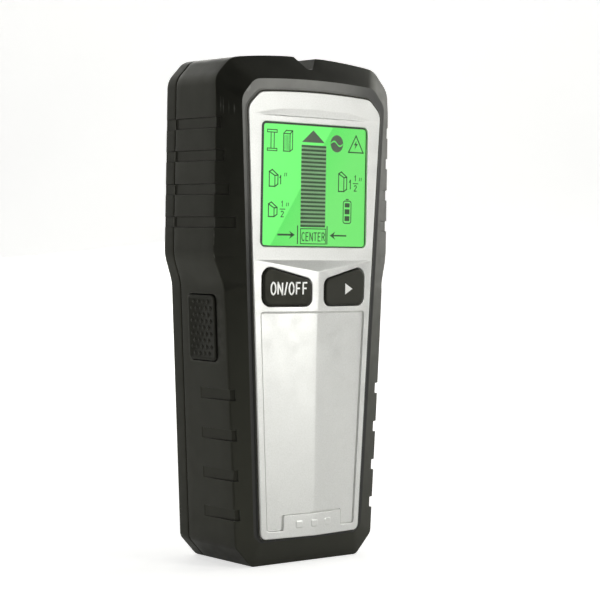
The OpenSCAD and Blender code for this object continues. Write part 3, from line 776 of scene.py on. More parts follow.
BAY_X, BAY_Y, BAY_Z0, BAY_Z1 = 13.85, -3.4, 8.8, 66.0
door_low, door_high = box_mm("battery_door")
DOOR_X = door_high[0] - 1
DOOR_Z1 = door_high[2]
DOOR_Y = door_low[1]
SCREWS = [(30, 153.5), (29.6, 97), (22.5, 10.3)]
WELL_R, WELL_Y = 2.7, 13.6        # counterbores of the casing screws, open at the back


def rear_casing():
    """Back casing: rounded tray with the door recess, battery bay and screw wells."""
    n = len(silhouette)
    corner = ring3(silhouette, BACK_Y)
    forward = np.tile([0.0, -1.0, 0.0], (n, 1))
    flat_in = np.stack([side_in[:, 0], np.zeros(n), side_in[:, 1]], 1)
    seam = [ring3(silhouette + side_in * d, SEAM_Y + 0.12 + back_off) for d, back_off in SEAM_ROUND]
    side = [ring3(silhouette, y) for y in (13.6, 15, 15.8)]
    outer = np.array([ring3(silhouette + side_in * 1.25, SEAM_Y + 0.12)] + seam + side
                     + fillet(corner, forward, flat_in, 1.4, 8))
    depth = groove_depth(outer[..., 2], outer[..., 1], np.zeros(outer.shape[:2]))
    depth *= np.clip((BACK_Y - 0.3 - outer[..., 1]) / 0.7, 0, 1)
    outer = cut_notch(outer + row_normals(outer, side_in, -0.4) * depth[..., None])
    shell = (np.concatenate(list(outer)), tube_faces(len(outer), n))
    hollow = prism(hollow_loop(WALL), 0, BACK_Y - 2)
    recess = block(-DOOR_X - 0.1, DOOR_X + 0.1, DOOR_Y - 0.1, 60, -5, DOOR_Z1 + 0.1)
    rails = block(-DOOR_X - 1.1, DOOR_X + 1.1, DOOR_Y - 0.1, BACK_Y - 0.9, -5, DOOR_Z1 - 2.9)
    bay = block(-BAY_X, BAY_X, BAY_Y, 60, BAY_Z0, BAY_Z1)
    screws = [(s * x, z) for x, z in SCREWS for s in (-1, 1)]
    wells = [disc(x, z, WELL_R, WELL_Y, 60) for x, z in screws]
    tray = carved(shell, [hollow, recess, rails, bay] + wells)
    support = carved(block(-19.4, 19.4, DOOR_Y - 1.8, BACK_Y - 1, 1.6, 70), [recess, rails, bay])
    walls = carved(block(-BAY_X - 1.5, BAY_X + 1.5, BAY_Y - 1.5, BACK_Y - 1.2, BAY_Z0 - 1.5, BAY_Z1 + 1.5),
                   [bay, recess] + [upright(disc(x, 6, 1.1, BAY_Z1 - 2, BAY_Z1 + 4, 24)) for x in (-3, 3)])
    bosses = [carved(disc(x, z, 3.2, 10.4, BACK_Y - 1), [disc(x, z, 1.5, 0, 60), well])
              for (x, z), well in zip(screws, wells)]
    verts, faces = joined([tray, support, walls] + bosses)
    return piece("rear_case", verts, faces, "housing", "rear_plastic",
                 replaces=("rear_shell",), sharp=35)


# ---------- front plate ----------

KEY_EDGE = [(2.9, 85.1, 2.4), (21.7, 85.1, 3), (21.9, 98.1, 3), (2.9, 93.5, 2.6)]
WINDOW = both_sides([(22.75, 104.2, 1.8), (22.75, 144.7, 1.8)])
PANEL = both_sides([(12.4, 16.6, 0.6), (12.4, 11.6, 0.6), (18.6, 11.6, 0.8), (22.2, 82.9, 0.8)])
LEDGE_Z, LEDGE_D = 147.0, 0.36    # foot of the ledge over the window, and its depth there
PANEL_D = 0.45
FOLD_W = plate_half(90)


def ledge_depth(x, z):
    """Wedge over the window: sinks gently from a peaked line down to a short step out."""
    rise = np.interp(np.abs(x), [0, 15, 25.5], [2.5, 2.1, 0.05])
    down = np.clip((LEDGE_Z + rise - z) / rise, 0, 1)
    return LEDGE_D * np.minimum(1, rise / 1.6) * down * np.clip((z - LEDGE_Z + 0.35) / 0.35, 0, 1)


def folded(x, z):
    """Height of the plate's front surface over the frame's zero plane, towards the user."""
    border = -PLATE_Y
    ridge = border + RIDGE_H - (np.sqrt(x * x + 0.35) - 0.1) * RIDGE_H / FOLD_W
    slope = border + (100 - z) * RIDGE_H / 3.8
    return -smooth_min(-smooth_min(ridge, slope, 0.16), -np.full_like(ridge, border), 0.14)


def edge_drop(d, radius):
    """How far a rounded edge has fallen at distance d inside its outline."""
    d = np.clip(d, 0, radius)
    return radius - np.sqrt(np.maximum(radius * radius - (radius - d) ** 2, 0))


class Sheet:
    """Height field over an outline with holes: contour lines first, then loose points.

    Loose points keep out of the bands, each a line with the half width of its contours.
    """

    def __init__(self, bands=()):
        self.points, self.drops, self.edges = [], [], []
        self.bands = bands

    def loop(self, line, drop):
        """Adds a closed contour that lies at one depth under the surface."""
        base, n = len(self.points), len(line)
        self.points.extend(line.tolist())
        self.drops.extend([drop] * n)
        self.edges.extend((base + i, base + (i + 1) % n) for i in range(n))
        return range(base, base + n)

    def contours(self, line, steps):
        return [self.loop(offset(line, d), drop) for d, drop in steps]

    def scatter(self, xs, zs, outline, holes, margin):
        """Adds loose points inside the outline, clear of the holes and of the contours."""
        p = np.stack([np.ravel(xs), np.ravel(zs)], 1)
        p = p[inside(p, offset(outline, margin))]
        for line in holes:
            p = p[~inside(p, offset(line, -margin))]
        for line, half in self.bands:
            p = p[~inside(p, offset(line, -half)) | inside(p, offset(line, half))]
        fixed = np.array([q for q, d in zip(self.points, self.drops) if d is not None])
        p = p[np.min(np.abs(p[:, None, :] - fixed[None]).max(-1), axis=1) > 0.12]
        self.points.extend(p.tolist())
        self.drops.extend([None] * len(p))


def triangles(points, edges, outline, holes):
    """Triangles over flat points that keep the edges, inside the outline and outside the holes."""
    out, _, tris, origin, _, _ = delaunay_2d_cdt([Vector(q) for q in points], edges, [], 0, 1e-5)
    flat = np.array([v[:] for v in out])
    centres = flat[np.array(tris)].mean(1)
    keep = inside(centres, outline)
    for line in holes:
        keep &= ~inside(centres, line)
    return flat, [tuple(t) for t, k in zip(tris, keep) if k], origin


def on_box(line, half_w, z0, z1):
    """Each point of a loop moved straight out from the middle onto an upright rectangle."""
    middle = np.array([0, (z0 + z1) / 2])
    d = line - middle
    return middle + d / np.abs(d / [half_w, (z1 - z0) / 2]).max(1, keepdims=True)


PLATE_ROUND = 0.32                # radius of the plate's rounded brows
PIP_RISE = -0.13                  # top of the thumb pips, as a depth under the plate
PIP_CORNERS = [(-1.3, 12.1), (1.3, 12.1), (1.3, 14.3), (-1.3, 14.3)]
PIPS = [rounded([(6.1 * k + x, z, 0.5) for x, z in PIP_CORNERS], 5) for k in (-1, 0, 1)]


def plate_contours(sheet, outline, window, keys_open, panel):
    """Contours of every rounded edge on the plate's front. Gives back its four outer rims."""
    brow = [(d, edge_drop(d, PLATE_ROUND)) for d in (0.0, 0.03, 0.1, 0.2, PLATE_ROUND, 0.45)]
    rims = [sheet.contours(outline, brow)[0]]
    rims += [sheet.contours(line, [(-d, drop) for d, drop in brow])[0] for line in (window, *keys_open)]
    # edge of the sunken panel: rounded brow outside, then a fine groove along the foot of the wall
    sheet.contours(panel, [(-0.45, 0), (-0.3, 0), (-0.2, 0.03), (-0.1, 0.14), (-0.02, 0.5), (0.08, 0.78),
                           (0.2, 0.8), (0.3, 0.6), (0.38, PANEL_D), (0.5, PANEL_D)])
    for pip in PIPS:
        sheet.contours(pip, [(-0.3, 0), (-0.15, 0), (0, -0.05), (0.12, -0.12), (0.25, PIP_RISE),
                             (0.4, PIP_RISE)])
    return rims


def plate_grid(sheet, outline, holes):
    """Points along the folds, closely packed, and a loose grid over the rest."""
    margin = PLATE_ROUND + 0.25
    fold_x = np.array([-2.2, -1.4, -0.9, -0.6, -0.35, -0.15, 0, 0.15, 0.35, 0.6, 0.9, 1.4, 2.2])
    sheet.scatter(*np.meshgrid(fold_x, np.arange(10.5, 96, 1.2)), outline, holes, margin)
    x = np.arange(-26, 26.1, 0.8)
    for d in (-1.0, -0.5, -0.25, -0.1, 0, 0.1, 0.25, 0.5, 1.0):
        sheet.scatter(x, 96.2 + np.abs(x) * 3.8 / FOLD_W + d, outline, holes, margin)
        sheet.scatter(x, np.full_like(x, 100.0 + d), outline, holes, margin)
    sheet.scatter(*np.meshgrid(np.arange(-27, 27.1, 0.9), np.arange(LEDGE_Z - 0.6, LEDGE_Z + 3, 0.175)),
                  outline, holes, margin)
    sheet.scatter(*np.meshgrid(np.arange(-28, 28.1, 2.4), np.arange(10, 154, 2.4)), outline, holes, margin)


def plate_levels(sheet, xz, origin, panel):
    """Depth of each meshed point under the folded surface."""
    in_pip = np.any([inside(xz, offset(p, 0.2)) for p in PIPS], axis=0)
    level = np.select([inside(xz, panel), in_pip], [PANEL_D, PIP_RISE], 0.0)
    for i, source in enumerate(origin):
        known = [sheet.drops[k] for k in source if sheet.drops[k] is not None]
        if known:
            level[i] = known[0]
    return level


def face_plate():
    """Silver plate: folded front, rounded openings, sunken panel, ledge and thumb pips."""
    outline = resampled(mirrored_plate_loop(8), 2.5)
    right_key = resampled(offset(rounded(KEY_EDGE, 10), -0.3), 2.5)
    left_key = (right_key * [-1, 1])[::-1]
    window = resampled(rounded(WINDOW, 10), 2.5)
    panel = resampled(rounded(PANEL, 6), 2.5)
    sheet = Sheet([(panel, 0.55)] + [(p, 0.45) for p in PIPS])
    rims = plate_contours(sheet, outline, window, (right_key, left_key), panel)
    plate_grid(sheet, outline, (window, right_key, left_key))
    xz, faces, origin = triangles(sheet.points, sheet.edges, outline, (window, right_key, left_key))
    level = plate_levels(sheet, xz, origin, panel) + ledge_depth(xz[:, 0], xz[:, 1])
    verts = np.stack([xz[:, 0], level - folded(xz[:, 0], xz[:, 1]), xz[:, 1]], 1).tolist()
    place = {k: i for i, source in enumerate(origin) for k in source}

    def wall(ids, line, y):
        """Band of faces from a ring of points to the same number of points at depth y."""
        base, n = len(verts), len(ids)
        verts.extend([x, y, z] for x, z in line)
        faces.extend((ids[i], ids[(i + 1) % n], base + (i + 1) % n, base + i) for i in range(n))
        return range(base, base + n)

    # side walls down to the underside. The window's wall steps out to a pocket for the display glass
    pocket = on_box(window, glass_high[0] + 0.1, glass_low[2] - 0.1, glass_high[2] + 0.1)
    under = []
    for line, rim_loop in zip((outline, window, right_key, left_key), rims):
        ids = [place[k] for k in rim_loop]
        if line is window:
            ids = wall(ids, window, glass_low[1] - 0.04)
            ids = wall(ids, pocket, glass_low[1] - 0.04)
            line = pocket
        under.append((line, wall(ids, line, FLOOR_Y)))
    back = Sheet()
    for line, _ in under:
        back.loop(line, 0)
    ids = [i for _, ring in under for i in ring]
    _, tris, origin = triangles(back.points, back.edges, outline, [line for line, _ in under[1:]])
    faces += [tuple(ids[origin[i][0]] for i in t) for t in tris]
    used = sorted({i for f in faces for i in f})
    number = {old: new for new, old in enumerate(used)}
    return piece("front_plate", np.array(verts)[used], [tuple(number[i] for i in f) for f in faces],
                 "housing", "silver_paint", replaces=("face_plate",), sharp=38, weld=0.001)


# ---------- keys ----------

KEY_PROUD = 0.46                  # height of the key tops over the plate
KEY_ROUND = 0.75                  # radius of their brows
KEY_DIP = 0.02                    # faint hollow of their tops
KEY_X, KEY_Z = 12.3, 90.6         # place of each key's stem


def key_height(x, z):
    """Height of the key tops over the frame's zero plane, which is the same at every z."""
    return -PLATE_Y + RIDGE_H - np.abs(x) * RIDGE_H / FOLD_W + KEY_PROUD


def front_key(name, side, node, body):
    """Push key whose top follows the plate's facet, with a softly rounded brow."""
    loop = resampled(rounded(KEY_EDGE, 12), 1.2)
    if side < 0:
        loop = (loop * [-1, 1])[::-1]
    middle = loop.mean(0)

    def top_row(line, drop):
        return ring3(line, drop - key_height(line[:, 0], line[:, 1]))

    rows = [ring3(offset(loop, 0.2), FLOOR_Y + 0.4), ring3(loop, FLOOR_Y + 0.05)]
    rows += [top_row(offset(loop, d), edge_drop(d, KEY_ROUND))
             for d in (0.0, 0.03, 0.1, 0.22, 0.4, 0.58, KEY_ROUND)]
    # the top dips very slightly inside the brow
    rows += [top_row(offset(loop, d), dip) for d, dip in ((1.0, 0.0), (1.3, KEY_DIP / 2), (1.8, KEY_DIP))]
    rows += [top_row(middle + (offset(loop, 1.8) - middle) * t, KEY_DIP) for t in (0.9, 0.5)]
    centre = [middle[0], KEY_DIP - key_height(*middle), middle[1]]
    verts = np.concatenate(rows + [[centre]])
    n = len(loop)
    last = (len(rows) - 1) * n
    faces = grid_faces(len(rows), n) + [(last + i, last + (i + 1) % n, last + n) for i in range(n)]
    faces.append(tuple(range(n)))
    # flange behind the plate and the stem down to the switch
    flange = prism(offset(loop, -0.9), FLOOR_Y + 0.06, FLOOR_Y + 0.85)
    stem = disc(side * KEY_X, KEY_Z, 2, FLOOR_Y + 0.5, box_mm(node)[1][1])
    verts, faces = joined([(verts, faces), flange, stem])
    return piece(name, verts, faces, body, "key_plastic", replaces=(node,), sharp=40)


def ribbon(points, width):
    """Flat ribbon of one width along a smooth path of 2-D points, as quads."""
    p = np.array(points, float)
    closed = len(p) > 3 and np.allclose(p[0], p[-1])
    if closed:
        p = p[:-1]
    before, after = np.roll(p, 1, 0), np.roll(p, -1, 0)
    u, v = unit(p - before), unit(after - p)
    if not closed:
        u[0], v[-1] = v[0], u[-1]
    a, b = np.stack([-u[:, 1], u[:, 0]], 1), np.stack([-v[:, 1], v[:, 0]], 1)
    m = (a + b) / (1 + (a * b).sum(1, keepdims=True)) * width / 2
    n = len(p)
    last = n if closed else n - 1
    return np.concatenate([p - m, p + m]), [(i, (i + 1) % n, n + (i + 1) % n, n + i) for i in range(last)]


def stroke(points, width):
    """Ribbon along a path that may turn sharply: it is cut into overlapping runs there."""
    p = [np.array(q, float) for q in points]
    turns = [k for k in range(1, len(p) - 1) if unit(p[k] - p[k - 1]) @ unit(p[k + 1] - p[k]) < 0.8]
    ends = [0] + turns + [len(p) - 1]
    if not turns:
        return ribbon(p, width)
    looped = np.allclose(p[0], p[-1])
    parts = []
    for a, b in zip(ends, ends[1:]):
        run = [q.copy() for q in p[a:b + 1]]
        if a > 0 or looped:
            run[0] = run[0] - unit(run[1] - run[0]) * width / 2
        if b < len(p) - 1 or looped:
            run[-1] = run[-1] + unit(run[-1] - run[-2]) * width / 2
        parts.append(ribbon(run, width))
    return joined(parts)


def fill(points):
    return np.array(points, float), [tuple(range(len(points)))]


def circle(x, z, rx, rz, steps=28, start=0.0, turn=2 * math.pi):
    t = start + turn * np.linspace(0, 1, steps + 1)
    return [(x + rx * math.cos(a), z + rz * math.sin(a)) for a in t]


# strokes of the plain capital letters, in a cell 1 wide and 1 high
LETTERS = {
    "O": [circle(0.5, 0.5, 0.42, 0.5, 20)],
    "N": [[(0.1, 0), (0.1, 1), (0.9, 0), (0.9, 1)]],
    "/": [[(0.15, -0.05), (0.85, 1.05)]],
    "F": [[(0.15, 0), (0.15, 1), (0.9, 1)], [(0.15, 0.52), (0.8, 0.52)]],
    "C": [circle(0.55, 0.5, 0.42, 0.5, 14, 0.8, 4.7)],
    "E": [[(0.9, 0), (0.15, 0), (0.15, 1), (0.9, 1)], [(0.15, 0.52), (0.8, 0.52)]],
    "T": [[(0, 1), (1, 1)], [(0.5, 0), (0.5, 1)]],
    "R": [[(0.12, 0), (0.12, 1), (0.65, 1), (0.85, 0.78), (0.65, 0.5), (0.12, 0.5)],
          [(0.5, 0.5), (0.9, 0)]],
    "1": [[(0.2, 0.75), (0.55, 1), (0.55, 0)]],
    "2": [[(0.1, 0.8), (0.3, 1), (0.7, 1), (0.9, 0.75), (0.1, 0), (0.95, 0)]],
    "'": [[(0.35, 1), (0.3, 0.72)], [(0.7, 1), (0.65, 0.72)]],
}


def word(text, x, z, cell, height, gap, width, narrow=0.6):
    """Strokes of a word whose lower left corner is at (x, z)."""
    parts = []
    for c in text:
        w = cell * (narrow if c in "/1" else 1)
        for path in LETTERS[c]:
            parts.append(stroke([(x + px * w, z + pz * height) for px, pz in path], width))
        x += w + gap
    return parts


def decal(name, parts, height, lift, body, finish):
    """Thin printed shapes laid on a surface whose height is a function of x and z."""
    pts, faces = joined(parts)
    top = np.stack([pts[:, 0], -(height(pts[:, 0], pts[:, 1]) + lift), pts[:, 1]], 1)
    low = top + [0, lift * 0.8, 0]
    n = len(pts)
    all_faces = list(faces) + [tuple(i + n for i in reversed(f)) for f in faces]
    count = {}
    for f in faces:
        for a, b in zip(f, f[1:] + f[:1]):
            count[(a, b)] = count.get((a, b), 0) + 1
    for (a, b) in count:
        if (b, a) not in count:
            all_faces.append((a, b, b + n, a + n))
    return piece(name, np.concatenate([top, low]), all_faces, body, finish, sharp=30)


def keys():
    front_key("power_key_cap", -1, "power_button", "power_key")
    front_key("mode_key_cap", 1, "mode_button", "mode_key")
    decal("power_key_print", word("ON/OFF", -19.05, 88.8, 2.1, 3.8, 0.52, 0.54), key_height, 0.03,
          "power_key", "key_print")
    decal("mode_key_print", [fill([(12.3, 88.65), (15.8, 90.5), (12.3, 92.35)])], key_height, 0.03,
          "mode_key", "key_print")


def scan_key():
    """Side key with a rounded brow and a field of small diamond pips."""
    loop = resampled(scan_outline(SCAN_W, SCAN_H, 1.6), 1.0)
    r = 0.45

    def row(line, depth):
        return np.stack([np.full(len(line), depth), line[:, 0], line[:, 1]], 1)

    rows = [row(loop, WALL + 0.1), row(loop, 1.0)]
    rows += [row(offset(loop, d), -0.7 + edge_drop(d, r)) for d in (0, 0.03, 0.1, 0.2, 0.32, r)]
    rows += [row(offset(loop, 1.0), -0.7), row(offset(loop, 1.15), -0.62)]
    parts = [(np.concatenate(rows), tube_faces(len(rows), len(loop)))]
    # diamond pips in staggered rows
    for j in range(9):
        for i in range(5 if j % 2 else 4):
            y, z = 2.45 * (i - (2 if j % 2 else 1.5)), 2.1 * (j - 4)
            ring = []
            for size, depth in ((1.02, -0.6), (0.72, -0.84), (0.38, -0.96)):
                ring.append([[depth, y + size * a, z + size * 0.95 * b]
                             for a, b in ((1, 0), (0, 1), (-1, 0), (0, -1))])
            parts.append((np.array(ring).reshape(-1, 3), tube_faces(3, 4)))
    parts.append(sideways(prism(offset(loop, -0.9), WALL + 0.05, WALL + 1.05)))
    parts.append(sideways(disc(-3.0 - SCAN_Y, 0, 1.9, WALL + 1, 5.44)))
    verts, faces = joined(parts)
    piece("scan_key_cap", scan_to_frame(verts), faces, "scan_key", "key_plastic",
          replaces=("scan_button",), sharp=30)


# ---------- display ----------

LINE = 0.38         # width of the display's thin strokes


def outline(x0, x1, z0, z1, width=LINE):
    """Strokes of an upright rectangle."""
    return stroke([(x0, z0), (x0, z1), (x1, z1), (x1, z0), (x0, z0)], width)


def filled_box(x0, x1, z0, z1):
    return fill([(x0, z0), (x1, z0), (x1, z1), (x0, z1)])


def joist_sign(x, z):
    """Steel beam with its two flanges, 4 wide and 6.6 high."""
    return [outline(x, x + 4.0, z + 5.95, z + 6.75, 0.3), outline(x, x + 4.0, z, z + 0.7, 0.3),
            stroke([(x + 1.5, z + 0.7), (x + 1.5, z + 5.95)], 0.34),
            stroke([(x + 2.8, z + 0.7), (x + 2.8, z + 5.95)], 0.34)]


def timber_sign(x, z):
    """Block of timber: front face, slanting top and side."""
    w, h, dx, dz = 2.7, 5.7, 1.05, 1.0
    return [outline(x, x + w, z, z + h, 0.34),
            stroke([(x, z + h), (x + dx, z + h + dz), (x + w + dx, z + h + dz), (x + w, z + h)], 0.34),
            stroke([(x + w + dx, z + h + dz), (x + w + dx, z + dz * 0.7), (x + w, z)], 0.34)]


def timber_grain(x, z):
    return [stroke([(x + k * 0.54, z + 0.4), (x + k * 0.54, z + 5.2)], 0.2) for k in (1, 2, 3, 4)]


def ladder(x0, x1, z_low, z_high, count):
    """Level bars of the strength ladder."""
    pitch = (z_high - z_low) / (count - 1)
    return [stroke([(x0, z_low + k * pitch), (x1, z_low + k * pitch)], 0.66) for k in range(count)]


def live_sign(x, z, rx, rz):
    """Dark disc crossed by a pale wave."""
    wave = [(x + rx * t, z - 0.85 * math.sin(math.pi * t) * (1 - 0.4 * t * t))
            for t in np.linspace(-1, 1, 21)]
    upper = circle(x, z, rx, rz, 20, 0, math.pi)
    lower = circle(x, z, rx, rz, 20, math.pi, math.pi)
    return [fill(upper + [(a, b + 0.26) for a, b in wave[1:-1]]),
            fill(lower + [(a, b - 0.26) for a, b in reversed(wave[1:-1])])]


def warning_sign(x, z, w, h):
    """Triangle with a bolt in it."""
    bolt = [(0.3, 4.0), (-0.95, 2.45), (-0.15, 2.45), (-0.55, 1.1), (0.85, 2.95), (0.0, 2.95)]
    return [stroke([(x - w / 2, z), (x + w / 2, z), (x, z + h), (x - w / 2, z)], 0.42),
            fill([(x + a, z + b) for a, b in bolt])]


def depth_sign(x, z, h):
    """Sawn stud seen from a corner: front face, slanting top and side."""
    top, near, far = (x + 1.2, z + h), (x + 2.35, z + h - 1.9), (x + 3.6, z + h - 1.7)
    left = (x, z + h - 0.65)
    return [stroke([left, (x, z), (x + 2.35, z), near, left], LINE), stroke([left, top, far, near], LINE),
            stroke([far, (x + 3.6, z + 0.8), (x + 2.35, z)], LINE)]


def inch_mark(x, z):
    return [stroke([(x + k, z), (x + k + 0.25, z + 1.15)], 0.26) for k in (0, 0.75)]


def half_sign(x, z):
    """The fraction one half, 2.3 wide and 5.1 high."""
    bar = stroke([(x, z + 2.5), (x + 2.3, z + 2.5)], 0.28)
    return (word("1", x + 0.55, z + 3.3, 1.5, 1.8, 0, 0.3) + [bar]
            + word("2", x + 0.45, z, 1.3, 1.8, 0, 0.3))


def battery_sign(x, z):
    """Battery gauge with three full cells."""
    cells = [filled_box(x + 0.65, x + 2.8, z + low, z + high)
             for low, high in ((0.75, 2.4), (3.05, 4.7), (5.35, 6.75))]
    shell = rounded([(x, z, 0.8), (x + 3.45, z, 0.8), (x + 3.45, z + 7.45, 0.8), (x, z + 7.45, 0.8)], 4)
    knob = stroke([(x + 1.1, z + 7.95), (x + 2.35, z + 7.95)], 0.4)
    return cells + [ribbon(list(shell) + [shell[0]], 0.34), knob]


def centre_arrow(tail, tip, z, width):
    """Arrow along X with a notched head."""
    s = 1 if tip > tail else -1
    head = [(tip, z), (tip - s * 2.4, z + 1.35), (tip - s * 1.5, z), (tip - s * 2.4, z - 1.35)]
    return [stroke([(tail, z), (tip - s * 1.3, z)], width), fill(head[::s])]


def round_box(x0, x1, z0, z1, radius):
    return resampled(rounded([(x, z, radius) for x, z in ((x0, z0), (x1, z0), (x1, z1), (x0, z1))], 8), 3)


def display():
    """Segments of the display, all of them plain generic signs."""
    signs = joist_sign(-19.95, 135.35) + timber_sign(-13.2, 135.4)
    signs += ladder(-5.55, 5.0, 111.2, 137.4, 21) + warning_sign(18.15, 136.2, 6.5, 5.6)
    signs += depth_sign(-18.93, 123.8, 5.4) + word("1", -14.9, 124.55, 2.2, 2.75, 0, 0.36)
    signs += inch_mark(-12.65, 127.2)
    signs += depth_sign(-19.1, 114.0, 4.7) + half_sign(-14.4, 114.0) + inch_mark(-11.65, 117.5)
    signs += depth_sign(10.7, 123.0, 6.5) + word("1", 15.2, 123.85, 2.2, 2.95, 0, 0.38)
    signs += half_sign(17.1, 123.3) + inch_mark(19.9, 126.7) + battery_sign(12.95, 112.4)
    signs += centre_arrow(-15.2, -7.9, 108.2, 0.62) + centre_arrow(14.5, 7.2, 108.2, 0.5)
    signs += [stroke([(-6.72, 105.2), (-6.72, 111.3)], 0.42), stroke([(6.0, 105.2), (6.0, 111.3)], 0.42)]
    signs += [outline(-5.43, 5.36, 105.35, 110.3, 0.3)]
    signs += word("CENTER", -5.05, 106.35, 1.42, 2.65, 0.32, 0.34)
    solid = [fill([(-5.4, 138.7), (4.4, 138.7), (-0.6, 142.7)])] + live_sign(9.7, 138.78, 2.75, 2.85)

    def glass(x, z):
        return np.full_like(np.asarray(x, float), -glass_low[1])

    field = [filled_box(-5.6, 5.1, 110.8, 137.8)]
    for name, parts, lift, finish in (
            ("display_segments", signs, 0.012, "lcd_segment"),
            ("display_solid_signs", solid, 0.012, "lcd_grey"),
            ("display_grain_lines", timber_grain(-13.2, 135.4), 0.012, "lcd_ghost"),
            ("display_ladder_field", field, 0.006, "lcd_pale")):
        decal(name, parts, glass, lift, "housing", finish)
    # dark border under the edge of the window: a thin printed border with painted shadow of the edge on it,
    # which makes it wider on the left and at the top than on the right
    outer = round_box(-23.2, 23.2, 103.9, 145.1, 1.8)
    inner = round_box(-21.4, 22.45, 104.6, 144.1, 1)
    inner = inner[np.argmin(np.linalg.norm(inner[None] - outer[:, None], axis=2), axis=1)]
    n = len(outer)
    border = (np.concatenate([outer, inner]), [(i, (i + 1) % n, n + (i + 1) % n, n + i) for i in range(n)])
    decal("display_border_and_shadow", [border], glass, 0.018, "housing", "border_and_painted_shadow")


# ---------- CAD nodes that are shown as they are, the battery door with its edges eased ---

def dress(node, finish, bevel=0.0, segments=2):
    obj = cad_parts[node]
    obj.data.materials.clear()
    obj.data.materials.append(M[finish])
    if bevel:
        flat = obj.modifiers.new("planar", "DECIMATE")
        flat.decimate_type = "DISSOLVE"
        flat.angle_limit = math.radians(1)
        b = obj.modifiers.new("ease", "BEVEL")
        b.width, b.segments, b.limit_method = bevel * MM, segments, "ANGLE"
        b.angle_limit = math.radians(35)
        b.harden_normals = True


def inner_parts():
    finishes = {
        "lcd_glass": "lcd_green", "lcd_backlight": "light_guide", "lcd_frame": "white_plastic",
        "zebra_strip": "black_rubber", "backlight_leds": "led_body", "main_board": "circuit_board",
        "power_plunger": "key_plastic", "mode_plunger": "key_plastic", "key_switches": "steel",
        "scan_plunger": "key_plastic", "scan_switch": "steel", "processor_chip": "chip_black",
        "capacitors": "capacitor_sleeve", "buzzer": "chip_black", "sensor_board": "circuit_board",
        "sensor_electrodes": "copper", "metal_coil": "copper", "coil_former": "white_plastic",
        "sensor_cable": "ribbon_grey", "cable_sockets": "white_plastic", "battery_case": "battery_jacket",
        "battery_terminals": "steel", "snap_connector": "black_rubber", "snap_contacts": "steel",
        "wire_red": "red_insulation", "wire_black": "black_rubber", "battery_pad": "foam",
        "casing_screws": "steel", "board_screws": "steel", "display_window": "clear_window",
        "glide_pads": "felt"}
    for node, finish in finishes.items():
        dress(node, finish)
    dress("battery_door", "rear_plastic", 0.22, 3)


front_casing()
rear_casing()
face_plate()
keys()
scan_key()
display()
inner_parts()


# ---------- camera, floor and light ----------

CAMERA_PLACE = (-0.3864, -0.4740, 0.1058)
CAMERA_TURN, CAMERA_PITCH, CAMERA_ROLL = (math.radians(a) for a in (39.71, -1.82, 0.93))


def camera():
    """Camera at the front left, with a long lens and almost level."""
    data = bpy.data.cameras.new("camera")
    data.lens, data.sensor_width = 108.94, 36
    data.clip_start, data.clip_end = 0.01, 20
    obj = bpy.data.objects.new("camera", data)
    bpy.context.scene.collection.objects.link(obj)
    turn, pitch, roll = CAMERA_TURN, CAMERA_PITCH, CAMERA_ROLL
    look = Vector((math.sin(turn) * math.cos(pitch), math.cos(turn) * math.cos(pitch), math.sin(pitch)))
    right = Vector((math.cos(turn), -math.sin(turn), 0))
    up = right.cross(look)
    right, up = (right * math.cos(roll) + up * math.sin(roll),
                 up * math.cos(roll) - right * math.sin(roll))
    obj.matrix_world = Matrix.Translation(CAMERA_PLACE) @ Matrix(
        (right, up, -look)).transposed().to_4x4()
    bpy.context.scene.camera = obj


LAMP_COLOUR = (1, 1, 0.965)


def lamp(name, place, target, size, power):
    data = bpy.data.lights.new(name, "AREA")
    data.shape, data.size, data.size_y = "RECTANGLE", *size
    data.energy, data.color = power, LAMP_COLOUR
    obj = bpy.data.objects.new(name, data)
    obj.location = place
    obj.rotation_euler = (Vector(target) - Vector(place)).to_track_quat("-Z", "Y").to_euler()
    bpy.context.scene.collection.objects.link(obj)


def brighten_for_camera(paper, amount, mirrored_amount):
    """Lifts a backdrop's brightness for the camera, and less so in reflections on the object."""
    tree = paper.node_tree
    path = shader(tree, "LightPath")
    seen = product(tree, path["Is Camera Ray"], amount)
    glow = product_plus(tree, path["Is Glossy Ray"], mirrored_amount, seen)
    feed(tree, tree.nodes["Principled BSDF"], {"Emission Color": (1, 1, 1, 1), "Emission Strength": glow})


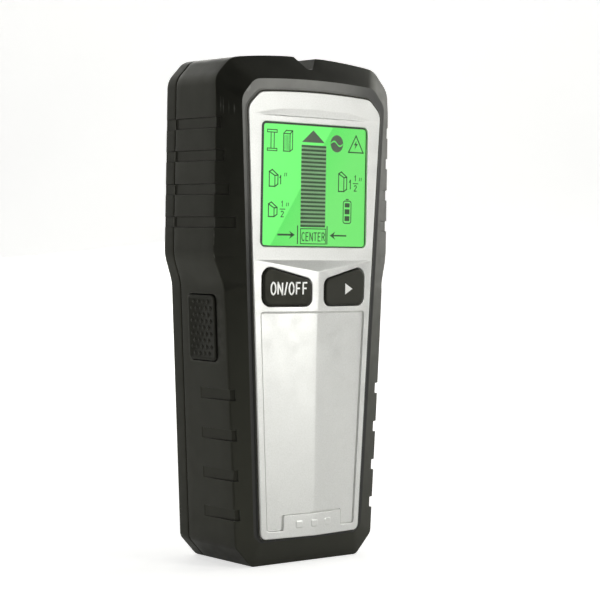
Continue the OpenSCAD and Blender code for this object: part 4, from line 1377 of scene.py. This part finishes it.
def floor():
    mesh = bpy.data.meshes.new("floor")
    span, rise, bend = 1.6, 1.4, 0.35
    profile = [(-span, 0.0), (0.75, 0.0)]
    profile += [(0.75 + bend * math.sin(a), bend - bend * math.cos(a))
                for a in np.linspace(0.1, math.pi / 2, 12)]
    profile.append((0.75 + bend, rise))
    heading = Vector((math.sin(CAMERA_TURN), math.cos(CAMERA_TURN), 0))
    across = Vector((heading.y, -heading.x, 0))
    verts = [tuple(heading * d + across * s + Vector((0, 0, h)))
             for d, h in profile for s in (-span, span)]
    faces = [(2 * i, 2 * i + 1, 2 * i + 3, 2 * i + 2) for i in range(len(profile) - 1)]
    mesh.from_pydata(verts, [], faces)
    mesh.polygons.foreach_set("use_smooth", [True] * len(mesh.polygons))
    paper = material("floor_paper", (0.88, 0.88, 0.87), 0.9, grain=0.02, spots=0.01)
    brighten_for_camera(paper, 0.62, 0.13)
    mesh.materials.append(paper)
    obj = bpy.data.objects.new("floor", mesh)
    bpy.context.scene.collection.objects.link(obj)


def at(azimuth, distance, height):
    """Place round the object: azimuth 0 is in front, 90 to its right, in degrees."""
    a = math.radians(azimuth)
    return (distance * math.sin(a), -distance * math.cos(a), height)


def studio():
    """Pale world behind the object from every side, which lights the object only faintly."""
    world = bpy.data.worlds.new("studio")
    bpy.context.scene.world = world
    world.use_nodes = True
    tree = world.node_tree
    seen = shader(tree, "LightPath")["Is Camera Ray"]
    feed(tree, tree.nodes["Background"], {"Color": (1, 1, 1, 1),
                                          "Strength": spread(tree, seen, 0.01, 0.95, 0, 1)})


def lights():
    """Ring of upright softboxes, named by where they stand, and a soft light from above."""
    centre = (0, 0, 0.085)
    for name, azimuth, power in (("right", 75, 2.7), ("far_right", 100, 1.2), ("behind_right", 150, 1.8),
                                 ("behind", 180, 1.5), ("behind_left", -150, 0.8), ("left", -92, 1.6)):
        lamp(name, at(azimuth, 0.9, 0.40), centre, (0.35, 0.7), power)
    lamp("front_right", at(25, 0.9, 0.33), centre, (0.36, 0.64), 2.9)
    lamp("top", (0.0, 0.0, 1.1), centre, (0.8, 0.8), 1.1)


camera()
floor()
studio()
lights()
bpy.context.scene.view_settings.view_transform = "Standard"
